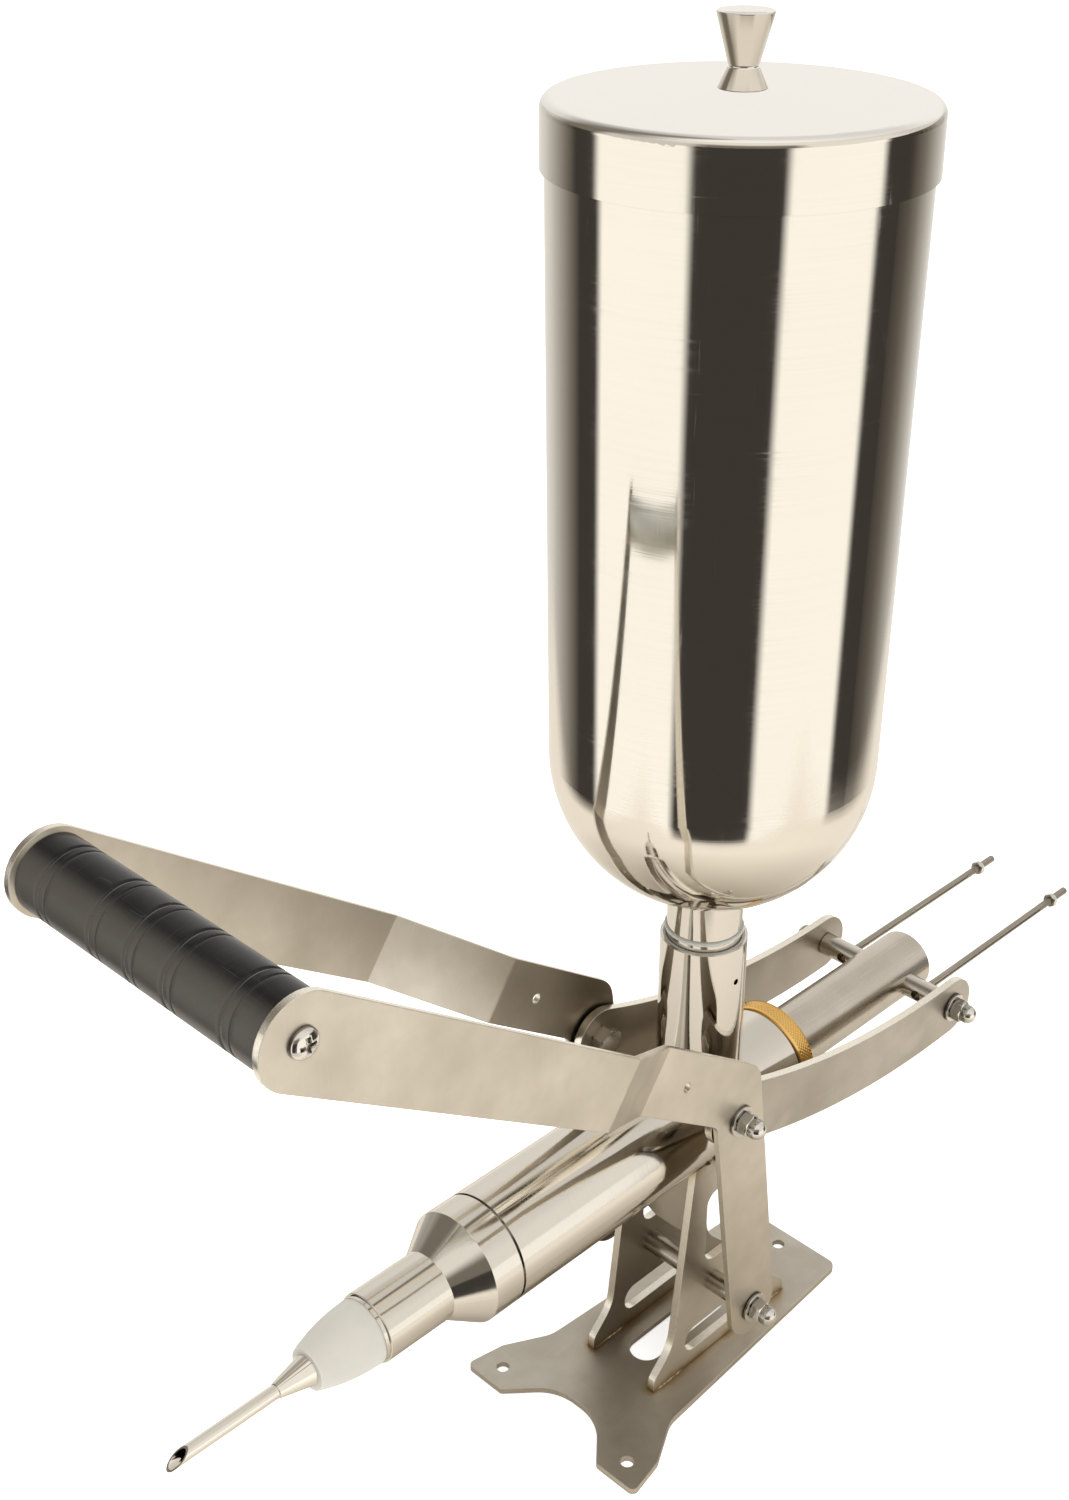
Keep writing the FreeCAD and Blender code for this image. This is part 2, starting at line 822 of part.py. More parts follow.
def grip_screw():
    """Left pan-head screw with a cross recess."""
    base = V(arm_outer_x, *grip)
    corners = [
        (0, -screw_len),
        (screw_shank_r, -screw_len),
        (screw_shank_r, 0),
        (screw_head_r, 0),
        (screw_head_r, screw_head_t, screw_dome_r),
        (0, screw_head_t),
    ]
    screw = turned(corners, base, X, Z)
    floor_x = arm_outer_x + screw_head_t - cross_slot_depth
    half_w = cross_slot_w / 2
    half_len = cross_slot_len / 2
    for half_y, half_z in ((half_w, half_len), (half_len, half_w)):
        corner = V(floor_x, grip_y - half_y, grip_z - half_z)
        screw = screw.cut(Part.makeBox(cross_slot_depth, 2 * half_y, 2 * half_z, corner))
    return screw


# ---------------------------------------------------------------- links
def link():
    """Left link: a curved bar with an eye at the elbow and one at the piston's stub."""
    chord = math.dist(rear_pin, elbow)
    bow_r = (chord ** 2 / 4 + link_sag ** 2) / (2 * link_sag)
    forward = unit(rear_pin, elbow)
    upward = (forward[1], -forward[0])
    if upward[1] < 0:
        upward = (-upward[0], -upward[1])
    middle = ((rear_pin[0] + elbow[0]) / 2, (rear_pin[1] + elbow[1]) / 2)
    centre = shifted(middle, upward, bow_r - link_sag)

    def on_bow(target, radius, x=link_inner_x):
        return V(x, *shifted(centre, unit(centre, target), radius))

    low = shifted(middle, upward, -link_sag)
    edges = []
    for radius in (bow_r - link_half, bow_r + link_half):
        points = [on_bow(target, radius) for target in (rear_pin, low, elbow)]
        edges.append(Part.Arc(*points).toShape())
    for eye, away in ((rear_pin, -1), (elbow, 1)):
        spoke = unit(centre, eye)
        tangent = (-spoke[1], spoke[0])
        if tangent[0] * forward[0] + tangent[1] * forward[1] < 0:
            tangent = (-tangent[0], -tangent[1])
        tip = V(link_inner_x, *shifted(eye, tangent, away * link_half))
        inner = on_bow(eye, bow_r - link_half)
        outer = on_bow(eye, bow_r + link_half)
        edges.append(Part.Arc(inner, tip, outer).toShape())
    bar = Part.Face(Part.Wire(Part.__sortEdges__(edges))).extrude(X * link_t)
    eyes = [pin_x(bolt_hole_r, link_inner_x, link_outer_x, place) for place in (rear_pin, elbow)]
    return bar.cut(eyes)


def elbow_bolt():
    """Left elbow bolt: head and shank, ending flush with the link's outer face."""
    base = V(link_inner_x - bolt_head_t, *elbow)
    head = hexagon(bolt_head_flats, base, X, Z, bolt_head_t)
    return head.fuse(pin_x(bolt_r, link_inner_x, link_outer_x, elbow)).removeSplitter()


def elbow_spacer():
    """Collar on the lever's inner face that keeps the link off the arm."""
    start = link_outer_x + face_gap
    collar = pin_x(washer_r, start, lever_inner_x, elbow)
    return collar.cut(pin_x(bolt_hole_r, start, lever_inner_x, elbow))


def threaded_end(x_from, washer_x, place):
    """M6 thread from x_from to just short of the bottom of an acorn nut's bore."""
    end_x = washer_x + washer_t + nut_bore_depth - face_gap
    return pin_x(bolt_r, x_from, end_x, place)


# ---------------------------------------------------------------- piston
def piston_tube():
    front_y = head_front_y + head_len
    tube = pin_y(piston_tube_r, front_y, piston_tube_rear_y)
    return tube.cut(pin_y(piston_bore_r, front_y, piston_tube_rear_y))


def piston_head():
    """Disc with two ring grooves and a plug pressed into the piston tube."""
    radius = barrel_bore_r - head_clearance
    head = pin_y(radius, head_front_y, head_front_y + head_len)
    rear_y = head_front_y + head_len
    head = head.fuse(pin_y(piston_bore_r, rear_y, rear_y + head_plug_len))
    return head.cut([ring_block(place, radius, ring_groove_w) for place in ring_groove_places])


def ring_block(place, outer_r, width):
    """Square-section ring around the piston head's groove floor."""
    floor_r = barrel_bore_r - head_clearance - ring_groove_depth
    middle_y = head_front_y + place + ring_groove_w / 2
    low_y = middle_y - width / 2
    ring = pin_y(outer_r, low_y, low_y + width)
    return ring.cut(pin_y(floor_r, low_y, low_y + width))


def piston_rings():
    outer_r = barrel_bore_r - ring_fit
    width = ring_groove_w - 2 * slide_fit
    return Part.makeCompound([ring_block(place, outer_r, width) for place in ring_groove_places])


def stub():
    """Left stub welded to the piston tube, cross-drilled for a rod and tapped for the link's bolt."""
    end_x = link_inner_x - face_gap
    bar = pin_x(stub_r, 0, end_x, rear_pin)
    front_y = rear_pin_y - stub_r
    holes = [
        pin_y(piston_tube_r, rear_pin_y - 2 * stub_r, rear_pin_y + 2 * stub_r),
        pin_y(rod_r + thread_fit, front_y, rear_pin_y + stub_r, stub_hole_x),
        pin_y(stub_hole_mouth_r, front_y, front_y + stub_hole_mouth_depth, stub_hole_x),
        pin_x(bolt_r + thread_fit, stub_hole_x + stub_hole_mouth_r + face_gap, end_x, rear_pin),
    ]
    return bar.cut(holes)


def stop_rod():
    start_y = rear_pin_y - stub_r + stub_hole_mouth_depth
    return pin_y(rod_r, start_y, rod_end_y, stub_hole_x)


def rod_nut():
    base = V(stub_hole_x, rod_nut_y - rod_nut_t / 2, barrel_z)
    nut = hexagon(rod_nut_flats, base, Y, Z, rod_nut_t)
    return nut.cut(pin_y(rod_r + thread_fit, rod_nut_y - rod_nut_t, rod_nut_y + rod_nut_t, stub_hole_x))


# ---------------------------------------------------------------- build
pivot_washer_x = lever_outer_x + face_gap
elbow_washer_x = lever_outer_x
rear_washer_x = link_outer_x + face_gap
pivot_rod_end = pivot_washer_x + washer_t + nut_bore_depth - face_gap
rear_thread_x = stub_hole_x + stub_hole_mouth_r + 2 * face_gap

save("base_plate", base_plate())
save("upright_left", upright())
save("upright_right", mirrored(upright()))
save("cross_web", cross_web())
save("pivot_cross_tube", pivot_cross_tube())
save("pivot_spacers", both_sides(pivot_spacer()))
save("pivot_rod", pin_x(bolt_r, -pivot_rod_end, pivot_rod_end, pivot))
save("pivot_washers", both_sides(washer(pivot_washer_x, pivot)))
save("pivot_acorn_nuts", both_sides(acorn_nut(pivot_washer_x + washer_t, pivot)))

save("barrel", barrel())
save("receiver_tube", receiver_tube())
save("nose_cap", nose_cap())
save("nose_gasket", nose_gasket())
save("gland_nut", gland_nut())
save("gland_seal", gland_seal())
save("nozzle_cap", nozzle_cap())
save("nozzle_hub", nozzle_hub())
save("needle", needle())

save("hopper_shell", hopper_shell())
save("hopper_spigot", hopper_spigot())
save("hopper_rings", hopper_rings())
save("lid_shell", lid_shell())
save("lid_knob", lid_knob())
save("knob_screw", knob_screw())

save("lever_arm_left", lever_arm())
save("lever_arm_right", mirrored(lever_arm()))
save("grip_core", grip_core())
save("grip_sleeve", grip_sleeve())
save("grip_screws", both_sides(grip_screw()))
save("elbow_spacers", both_sides(elbow_spacer()))
save("elbow_thread_ends", both_sides(threaded_end(link_outer_x + face_gap, elbow_washer_x, elbow)))
save("elbow_washers", both_sides(washer(elbow_washer_x, elbow)))
save("elbow_acorn_nuts", both_sides(acorn_nut(elbow_washer_x + washer_t, elbow)))

save("link_left", link())
save("link_right", mirrored(link()))
save("elbow_bolts", both_sides(elbow_bolt()))

save("piston_tube", piston_tube())
save("piston_head", piston_head())
save("piston_rings", piston_rings())
save("stub_left", stub())
save("stub_right", mirrored(stub()))
save("stop_rods", both_sides(stop_rod()))
save("rod_nuts", both_sides(rod_nut()))
save("rear_studs", both_sides(threaded_end(rear_thread_x, rear_washer_x, rear_pin)))
save("rear_washers", both_sides(washer(rear_washer_x, rear_pin)))
save("rear_acorn_nuts", both_sides(acorn_nut(rear_washer_x + washer_t, rear_pin)))
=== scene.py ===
import math

import bmesh
import bpy
from mathutils import Matrix, Vector
from mathutils import noise as blender_noise


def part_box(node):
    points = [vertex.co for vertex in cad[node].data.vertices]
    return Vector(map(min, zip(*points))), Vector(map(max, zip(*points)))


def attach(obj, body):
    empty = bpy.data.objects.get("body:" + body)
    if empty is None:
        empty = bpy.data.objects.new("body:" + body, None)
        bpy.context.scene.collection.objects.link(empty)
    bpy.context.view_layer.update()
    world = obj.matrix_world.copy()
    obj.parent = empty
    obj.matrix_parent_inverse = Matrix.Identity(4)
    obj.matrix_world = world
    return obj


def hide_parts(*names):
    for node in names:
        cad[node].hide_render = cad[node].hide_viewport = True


# Hand-operated donut filler. Metres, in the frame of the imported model: the barrel lies along Y,
# the needle points toward -Y, and the hopper stands over the barrel.

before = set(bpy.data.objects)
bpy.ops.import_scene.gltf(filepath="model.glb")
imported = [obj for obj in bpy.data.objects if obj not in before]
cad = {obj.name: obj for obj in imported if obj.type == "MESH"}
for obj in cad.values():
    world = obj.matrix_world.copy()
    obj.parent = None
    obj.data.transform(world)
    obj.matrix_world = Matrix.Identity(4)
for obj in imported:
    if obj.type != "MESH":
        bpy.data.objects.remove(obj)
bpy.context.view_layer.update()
scene = bpy.context.scene

MM = 0.001
HOPPER_Y = 0.0904
BARREL_Z = 0.1407
BARREL_R = 0.0263
RECEIVER_R = 0.0202
GRIP = Vector((0, -0.1976, 0.3685))
GRIP_R = 0.016
UPRIGHT_X = 0.0202
UPRIGHT_T = 0.004
UPRIGHT_TOP = 0.023
UPRIGHT_FOOT = 0.050
ROD_THREAD_Y = 0.352
KNURL_R = 0.0269
KNURL_DEPTH = 0.00035
BASE_TOP = 0.003
ROD_X = 0.024
THREAD_PITCH = 0.0007
NUT_LENGTH = 12 * MM
NUT_FLATS = 10.0 * MM
WASHER_THICK = 1.5 * MM
HEAD_HEIGHT = 3.6 * MM


# ---------------------------------------------------------------- node helpers
def put(tree, kind, settings=None, inputs=None):
    """Add a node, set its properties, and fill or link its inputs by name or number."""
    node = tree.nodes.new(kind)
    for key, value in (settings or {}).items():
        setattr(node, key, value)
    for key, value in (inputs or {}).items():
        socket = node.inputs[key]
        if isinstance(value, bpy.types.NodeSocket):
            tree.links.new(value, socket)
        else:
            socket.default_value = value
    return node


def math_node(tree, operation, *values, clamp=False):
    node = put(tree, "ShaderNodeMath", {"operation": operation, "use_clamp": clamp}, dict(enumerate(values)))
    return node.outputs[0]


def noise(tree, vector, scale, detail=2.0, rough=0.5):
    node = put(tree, "ShaderNodeTexNoise", None,
               {"Vector": vector, "Scale": scale, "Detail": detail, "Roughness": rough})
    return node.outputs["Fac"]


def stretched(tree, vector, scale, location=(0, 0, 0), rotation=(0, 0, 0)):
    node = put(tree, "ShaderNodeMapping", None,
               {"Vector": vector, "Scale": scale, "Location": location, "Rotation": rotation})
    return node.outputs[0]


def ramp(tree, factor, stops, interpolation="LINEAR"):
    """Colour ramp from (place, colour or grey) stops."""
    node = put(tree, "ShaderNodeValToRGB", None, {0: factor})
    node.color_ramp.interpolation = interpolation
    elements = node.color_ramp.elements
    while len(elements) > 1:
        elements.remove(elements[-1])
    for index, (place, tone) in enumerate(stops):
        element = elements[0] if index == 0 else elements.new(place)
        element.position = place
        colour = (tone, tone, tone) if isinstance(tone, (int, float)) else tone
        element.color = (*colour, 1)
    return node.outputs["Color"]


def blend_colour(tree, factor, first, second, mode="MIX"):
    node = put(tree, "ShaderNodeMix", {"data_type": "RGBA", "blend_type": mode},
               {0: factor, 6: first, 7: second})
    return node.outputs[2]


def remap(tree, value, from_low, from_high, to_low, to_high, smooth=False):
    kind = "SMOOTHSTEP" if smooth else "LINEAR"
    node = put(tree, "ShaderNodeMapRange", {"interpolation_type": kind},
               {0: value, 1: from_low, 2: from_high, 3: to_low, 4: to_high})
    return node.outputs[0]


def new_group(name, inputs, outputs):
    """Empty shader group with named sockets; returns the tree and its two ends."""
    tree = bpy.data.node_groups.new(name, "ShaderNodeTree")
    for socket_name, kind, value in inputs:
        socket = tree.interface.new_socket(socket_name, in_out="INPUT", socket_type=kind)
        if value is not None:
            socket.default_value = value
    for socket_name, kind in outputs:
        tree.interface.new_socket(socket_name, in_out="OUTPUT", socket_type=kind)
    entry = tree.nodes.new("NodeGroupInput")
    leave = tree.nodes.new("NodeGroupOutput")
    return tree, entry.outputs, leave.inputs


# ---------------------------------------------------------------- shared effects
def make_polish_lines():
    """Fine parallel polishing lines: stretched noise as a height and as a tone."""
    tree, given, result = new_group(
        "polish lines",
        [("Vector", "NodeSocketVector", None), ("Stretch", "NodeSocketVector", None)],
        [("Height", "NodeSocketFloat"), ("Tone", "NodeSocketFloat")],
    )
    scaled = put(tree, "ShaderNodeVectorMath", {"operation": "MULTIPLY"},
                 {0: given["Vector"], 1: given["Stretch"]}).outputs[0]
    fine = noise(tree, scaled, 1.0, 2.0, 0.6)
    coarse = noise(tree, scaled, 0.23, 1.0, 0.5)
    tree.links.new(fine, result["Height"])
    mixed = math_node(tree, "ADD", math_node(tree, "MULTIPLY", fine, 0.6),
                      math_node(tree, "MULTIPLY", coarse, 0.4))
    tree.links.new(remap(tree, mixed, 0.3, 0.7, 0.0, 1.0), result["Tone"])
    return tree


def make_fine_scratches():
    """Sparse hairline scratches in three directions as a mask."""
    tree, given, result = new_group(
        "fine scratches",
        [("Vector", "NodeSocketVector", None), ("Scale", "NodeSocketFloat", 1.0),
         ("Threshold", "NodeSocketFloat", 0.7)],
        [("Mask", "NodeSocketFloat")],
    )
    layers = []
    for turn, stretch in (((0.3, 0.5, 0.9), (24.0, 2600.0, 40.0)), ((0.9, 0.2, -0.6), (2400.0, 30.0, 36.0)),
                          ((0.1, 1.2, 0.3), (36.0, 28.0, 2700.0))):
        placed = stretched(tree, given["Vector"], stretch, rotation=turn)
        scaled = put(tree, "ShaderNodeVectorMath", {"operation": "SCALE"},
                     {0: placed, "Scale": given["Scale"]}).outputs[0]
        line = noise(tree, scaled, 1.0, 0.0, 0.4)
        edge = math_node(tree, "SUBTRACT", line, given["Threshold"])
        layers.append(math_node(tree, "MULTIPLY", edge, 12.0, clamp=True))
    both = math_node(tree, "MAXIMUM", layers[0], layers[1])
    tree.links.new(math_node(tree, "MAXIMUM", both, layers[2]), result["Mask"])
    return tree


def make_smudges():
    """Soft cloudy variation, as from handling and cleaning."""
    tree, given, result = new_group(
        "smudges",
        [("Vector", "NodeSocketVector", None), ("Scale", "NodeSocketFloat", 12.0)],
        [("Value", "NodeSocketFloat")],
    )
    broad = noise(tree, given["Vector"], given["Scale"], 3.0, 0.55)
    tree.links.new(remap(tree, broad, 0.32, 0.68, 0.0, 1.0), result["Value"])
    return tree


def make_edge_shine():
    """Rounded edges: how far the rounded normal leaves the flat one, as a mask for a painted highlight."""
    tree, given, result = new_group(
        "edge shine",
        [("Radius", "NodeSocketFloat", 0.0005)],
        [("Mask", "NodeSocketFloat"), ("Normal", "NodeSocketVector")],
    )
    rounded = put(tree, "ShaderNodeBevel", {"samples": 4}, {"Radius": given["Radius"]}).outputs[0]
    flat = put(tree, "ShaderNodeNewGeometry").outputs["Normal"]
    same = put(tree, "ShaderNodeVectorMath", {"operation": "DOT_PRODUCT"},
               {0: rounded, 1: flat}).outputs["Value"]
    tree.links.new(remap(tree, same, 0.99, 0.80, 0.0, 1.0), result["Mask"])
    tree.links.new(rounded, result["Normal"])
    return tree


def make_crevices():
    """Places closed in by other pieces, where little light comes: a mask for painting shade into a colour.
    """
    tree, given, result = new_group(
        "crevices",
        [("Reach", "NodeSocketFloat", 0.08), ("Open", "NodeSocketFloat", 0.62)],
        [("Mask", "NodeSocketFloat")],
    )
    around = put(tree, "ShaderNodeAmbientOcclusion", {"samples": 6},
                 {"Distance": given["Reach"]}).outputs["AO"]
    tree.links.new(remap(tree, around, 0.15, given["Open"], 1.0, 0.0), result["Mask"])
    return tree


def make_cut_faces():
    """Mask of the faces that were cut through a sheet, told by their normal."""
    tree, given, result = new_group(
        "cut faces",
        [("Across", "NodeSocketVector", (1, 0, 0)), ("Limit", "NodeSocketFloat", 0.6)],
        [("Mask", "NodeSocketFloat")],
    )
    normal = put(tree, "ShaderNodeTexCoord").outputs["Normal"]
    along = put(tree, "ShaderNodeVectorMath", {"operation": "DOT_PRODUCT"},
                {0: normal, 1: given["Across"]}).outputs["Value"]
    size = math_node(tree, "ABSOLUTE", along)
    tree.links.new(math_node(tree, "LESS_THAN", size, given["Limit"]), result["Mask"])
    return tree


def make_heat_tint():
    """Straw and brown heat colour beside a weld, from a distance in metres."""
    tree, given, result = new_group(
        "heat tint",
        [("Vector", "NodeSocketVector", None), ("Distance", "NodeSocketFloat", 1.0),
         ("Reach", "NodeSocketFloat", 0.006)],
        [("Colour", "NodeSocketColor"), ("Mask", "NodeSocketFloat")],
    )
    patchy = remap(tree, noise(tree, given["Vector"], 90.0, 2.0, 0.5), 0.35, 0.65, 0.35, 1.25)
    reach = math_node(tree, "MULTIPLY", given["Reach"], patchy)
    share = math_node(tree, "DIVIDE", given["Distance"], reach, clamp=True)
    colour = ramp(tree, share, [(0.0, (0.24, 0.15, 0.06)), (0.25, (0.46, 0.30, 0.12)),
                                (0.6, (0.60, 0.47, 0.28)), (1.0, (0.68, 0.60, 0.47))])
    tree.links.new(colour, result["Colour"])
    tree.links.new(remap(tree, share, 0.0, 1.0, 0.7, 0.0), result["Mask"])
    return tree


POLISH_LINES = make_polish_lines()
FINE_SCRATCHES = make_fine_scratches()
SMUDGES = make_smudges()
EDGE_SHINE = make_edge_shine()
CREVICE_SHADE = make_crevices()
CUT_FACES = make_cut_faces()
HEAT_TINT = make_heat_tint()


def use(tree, group, **inputs):
    """Place a shared effect in a material."""
    return put(tree, "ShaderNodeGroup", {"node_tree": group},
               {key.replace("_", " "): value for key, value in inputs.items()}).outputs


def start_material(name, metallic, colour, **fixed):
    """New material: its tree, the shader, and its object coordinates."""
    material = bpy.data.materials.new(name)
    material.use_nodes = True
    tree = material.node_tree
    shader = tree.nodes["Principled BSDF"]
    shader.inputs["Metallic"].default_value = metallic
    shader.inputs["Base Color"].default_value = (*colour, 1)
    for key, value in fixed.items():
        shader.inputs[key.replace("_", " ")].default_value = value
    place = put(tree, "ShaderNodeTexCoord").outputs["Object"]
    return material, tree, shader, place


# ---------------------------------------------------------------- finishes
def polished_steel(name, stretch, tone=(0.86, 0.815, 0.74), rough=(0.045, 0.085), lines=0.05, satin_top_painted_light=0.0):
    """Mirror-polished stainless steel with polishing lines, streaky haze and hairline scratches."""
    material, tree, shader, place = start_material(name, 1.0, tone)
    line = use(tree, POLISH_LINES, Vector=place, Stretch=stretch)
    haze = use(tree, SMUDGES, Vector=place, Scale=14.0)["Value"]
    scratch = use(tree, FINE_SCRATCHES, Vector=place, Scale=1.0, Threshold=0.79)["Mask"]
    worn = blend_colour(tree, remap(tree, haze, 0, 1, 0.0, 0.30), (*tone, 1),
                        (tone[0] * 0.95, tone[1] * 0.94, tone[2] * 0.92, 1))
    streaked = blend_colour(tree, remap(tree, line["Tone"], 0, 1, 0.0, 0.10), worn,
                            (tone[0] * 0.8, tone[1] * 0.8, tone[2] * 0.8, 1))
    colour = blend_colour(tree, math_node(tree, "MULTIPLY", scratch, 0.12), streaked, (0.95, 0.93, 0.9, 1))
    patch = remap(tree, noise(tree, place, 31.0, 2.0, 0.5), 0.42, 0.62, 0.0, 1.0)
    streak = math_node(tree, "MULTIPLY", remap(tree, line["Height"], 0.46, 0.62, 0.0, 1.0), patch)
    base = remap(tree, haze, 0, 1, rough[0], rough[1])
    lined = math_node(tree, "ADD", base, math_node(tree, "MULTIPLY", streak, 0.055))
    level = math_node(tree, "ADD", lined, math_node(tree, "MULTIPLY", scratch, 0.10), clamp=True)
    # Satin top: faces that look up get a rougher finish (a real finish) and a lighter colour (a painted
    # highlight).
    if satin_top_painted_light:
        flank = use(tree, CUT_FACES, Across=(0, 0, 1))["Mask"]
        top = remap(tree, flank, 0, 1, satin_top_painted_light, 0.0)
        level = math_node(tree, "ADD", level, top, clamp=True)
        colour = blend_colour(tree, flank, (0.98, 0.96, 0.93, 1), colour)
    # Painted shade: tight gaps beside other pieces are darkened in the colour.
    shut_in = use(tree, CREVICE_SHADE, Reach=0.003)["Mask"]
    tree.links.new(blend_colour(tree, math_node(tree, "MULTIPLY", shut_in, 0.9), colour,
                                (0.05, 0.042, 0.03, 1)),
                   shader.inputs["Base Color"])
    tree.links.new(level, shader.inputs["Roughness"])
    bump = put(tree, "ShaderNodeBump", None,
               {"Strength": lines, "Distance": 0.0001, "Height": line["Height"]})
    tree.links.new(bump.outputs[0], shader.inputs["Normal"])
    return material


def sheet_steel(name, across, tone=(0.68, 0.63, 0.55), tint=None, reach=0.08, rough=0.36, inner_shade=None,
                painted_crevice_shade=0.80, mottled=0.35):
    """Satin sheet steel: cloudy faces, bright cut edges, a painted highlight on the rounded edges, painted
    shade in crevices, heat colour, and painted shade on the faces that look inward, which may grow along the
    machine."""
    material, tree, shader, place = start_material(name, 1.0, tone)
    cloud = use(tree, SMUDGES, Vector=place, Scale=20.0)["Value"]
    mottle = use(tree, SMUDGES, Vector=place, Scale=110.0)["Value"]
    scratch = use(tree, FINE_SCRATCHES, Vector=place, Scale=1.2, Threshold=0.73)["Mask"]
    shine = use(tree, EDGE_SHINE, Radius=0.0005)
    cut = use(tree, CUT_FACES, Across=across)["Mask"]
    shut_in = use(tree, CREVICE_SHADE, Reach=reach)["Mask"]
    speck = noise(tree, place, 1600.0, 2.0, 0.7)
    light = tuple(min(c * 1.05, 1.0) for c in tone)
    deep = (tone[0] * 0.84, tone[1] * 0.83, tone[2] * 0.80)
    face = blend_colour(tree, cloud, (*light, 1), (*deep, 1))
    face = blend_colour(tree, remap(tree, mottle, 0, 1, 0.0, mottled), face, (*deep, 1))
    face = blend_colour(tree, math_node(tree, "MULTIPLY", scratch, 0.2), face, (0.86, 0.82, 0.75, 1))
    rim = blend_colour(tree, remap(tree, speck, 0.35, 0.65, 0, 1), (0.86, 0.80, 0.69, 1),
                       (1.0, 0.96, 0.87, 1))
    colour = blend_colour(tree, cut, face, rim)
    # Painted highlight along the rounded edges.
    colour = blend_colour(tree, math_node(tree, "MULTIPLY", shine["Mask"], 0.5), colour,
                          (1.0, 0.96, 0.88, 1))
    if tint:
        warm = use(tree, HEAT_TINT, Vector=place, Distance=tint(tree, place), Reach=0.006)
        colour = blend_colour(tree, warm["Mask"], colour, warm["Colour"])
    # Painted shade: the faces that look inward are darkened, growing along Y.
    if inner_shade:
        inward_shade = math_node(tree, "MULTIPLY", inner_faces(tree, place),
                          remap(tree, split(tree, place)["Y"], *inner_shade, smooth=True))
        colour = blend_colour(tree, inward_shade, colour, (0.16, 0.125, 0.085, 1))
    # Painted shade: places closed in by other pieces are darkened, less on the cut faces.
    open_face = math_node(tree, "SUBTRACT", 1.0, math_node(tree, "MULTIPLY", cut, 0.75))
    crevice_shading = math_node(tree, "MULTIPLY", math_node(tree, "MULTIPLY", shut_in, painted_crevice_shade), open_face)
    colour = blend_colour(tree, crevice_shading, colour, (0.20, 0.155, 0.095, 1))
    tree.links.new(colour, shader.inputs["Base Color"])
    level = remap(tree, cloud, 0, 1, rough - 0.03, rough + 0.05)
    level = math_node(tree, "SUBTRACT", level, math_node(tree, "MULTIPLY", cut, 0.13))
    tree.links.new(level, shader.inputs["Roughness"])
    bump = put(tree, "ShaderNodeBump", None, {"Strength": 0.10, "Distance": 0.0002, "Height": speck,
                                              "Normal": shine["Normal"]})
    tree.links.new(bump.outputs[0], shader.inputs["Normal"])
    return material


def satin_steel(name, stretch, tone, rough, lines=0.12, wave=None, painted_crevice_shade=0.7):
    """Drawn or turned steel with a soft sheen; wave adds a thread or turning ridges."""
    material, tree, shader, place = start_material(name, 1.0, tone)
    line = use(tree, POLISH_LINES, Vector=place, Stretch=stretch)
    haze = use(tree, SMUDGES, Vector=place, Scale=30.0)["Value"]
    scratch = use(tree, FINE_SCRATCHES, Vector=place, Scale=1.3, Threshold=0.73)["Mask"]
    shut_in = use(tree, CREVICE_SHADE, Reach=0.03)["Mask"]
    dark = (tone[0] * 0.78, tone[1] * 0.77, tone[2] * 0.75, 1)
    colour = blend_colour(tree, remap(tree, haze, 0, 1, 0.0, 0.5), (*tone, 1), dark)
    colour = blend_colour(tree, remap(tree, line["Tone"], 0, 1, 0.0, 0.3), colour, dark)
    colour = blend_colour(tree, math_node(tree, "MULTIPLY", scratch, 0.3), colour, (0.9, 0.87, 0.8, 1))
    # Painted shade: places closed in by other pieces are darkened.
    colour = blend_colour(tree, math_node(tree, "MULTIPLY", shut_in, painted_crevice_shade), colour, (0.20, 0.155, 0.10, 1))
    height = line["Height"]
    if wave:
        ridge = wave(tree, place)
        height = math_node(tree, "ADD", height, math_node(tree, "MULTIPLY", ridge, 4.0))
        # Painted shade: the thread grooves are darkened.
        colour = blend_colour(tree, remap(tree, ridge, 0, 1, 0.45, 0.0), colour, dark)
    tree.links.new(colour, shader.inputs["Base Color"])
    tree.links.new(remap(tree, line["Tone"], 0, 1, rough - 0.04, rough + 0.04), shader.inputs["Roughness"])
    bump = put(tree, "ShaderNodeBump", None, {"Strength": lines, "Distance": 0.0002, "Height": height})
    tree.links.new(bump.outputs[0], shader.inputs["Normal"])
    return material


def bright_plating(name, tone=(0.84, 0.81, 0.76), rough=0.04):
    """Bright fastener finish with tiny dents, dulled a little in patches."""
    material, tree, shader, place = start_material(name, 1.0, tone)
    haze = use(tree, SMUDGES, Vector=place, Scale=160.0)["Value"]
    scratch = use(tree, FINE_SCRATCHES, Vector=place, Scale=2.0, Threshold=0.72)["Mask"]
    dull = (tone[0] * 0.8, tone[1] * 0.79, tone[2] * 0.76, 1)
    colour = blend_colour(tree, remap(tree, haze, 0, 1, 0.0, 0.4), (*tone, 1), dull)
    colour = blend_colour(tree, math_node(tree, "MULTIPLY", scratch, 0.3), colour, (0.97, 0.95, 0.92, 1))
    # Painted shade: faces that look across the fastener's axis, such as the hexagon's flats, are painted
    # darker.
    flats = use(tree, CUT_FACES, Across=(1, 0, 0), Limit=0.35)["Mask"]
    colour = blend_colour(tree, math_node(tree, "MULTIPLY", flats, 0.55), colour, (0.16, 0.145, 0.12, 1))
    # Painted shade: the parts beside washers and arms are darkened in the colour.
    shut_in = use(tree, CREVICE_SHADE, Reach=0.009, Open=0.80)["Mask"]
    tree.links.new(blend_colour(tree, math_node(tree, "MULTIPLY", shut_in, 0.95), colour,
                                (0.06, 0.05, 0.035, 1)),
                   shader.inputs["Base Color"])
    level = math_node(tree, "ADD", remap(tree, haze, 0, 1, rough, rough + 0.05),
                      math_node(tree, "MULTIPLY", scratch, 0.2))
    tree.links.new(level, shader.inputs["Roughness"])
    bump = put(tree, "ShaderNodeBump", None, {"Strength": 0.06, "Distance": 0.0001, "Height": haze})
    tree.links.new(bump.outputs[0], shader.inputs["Normal"])
    return material


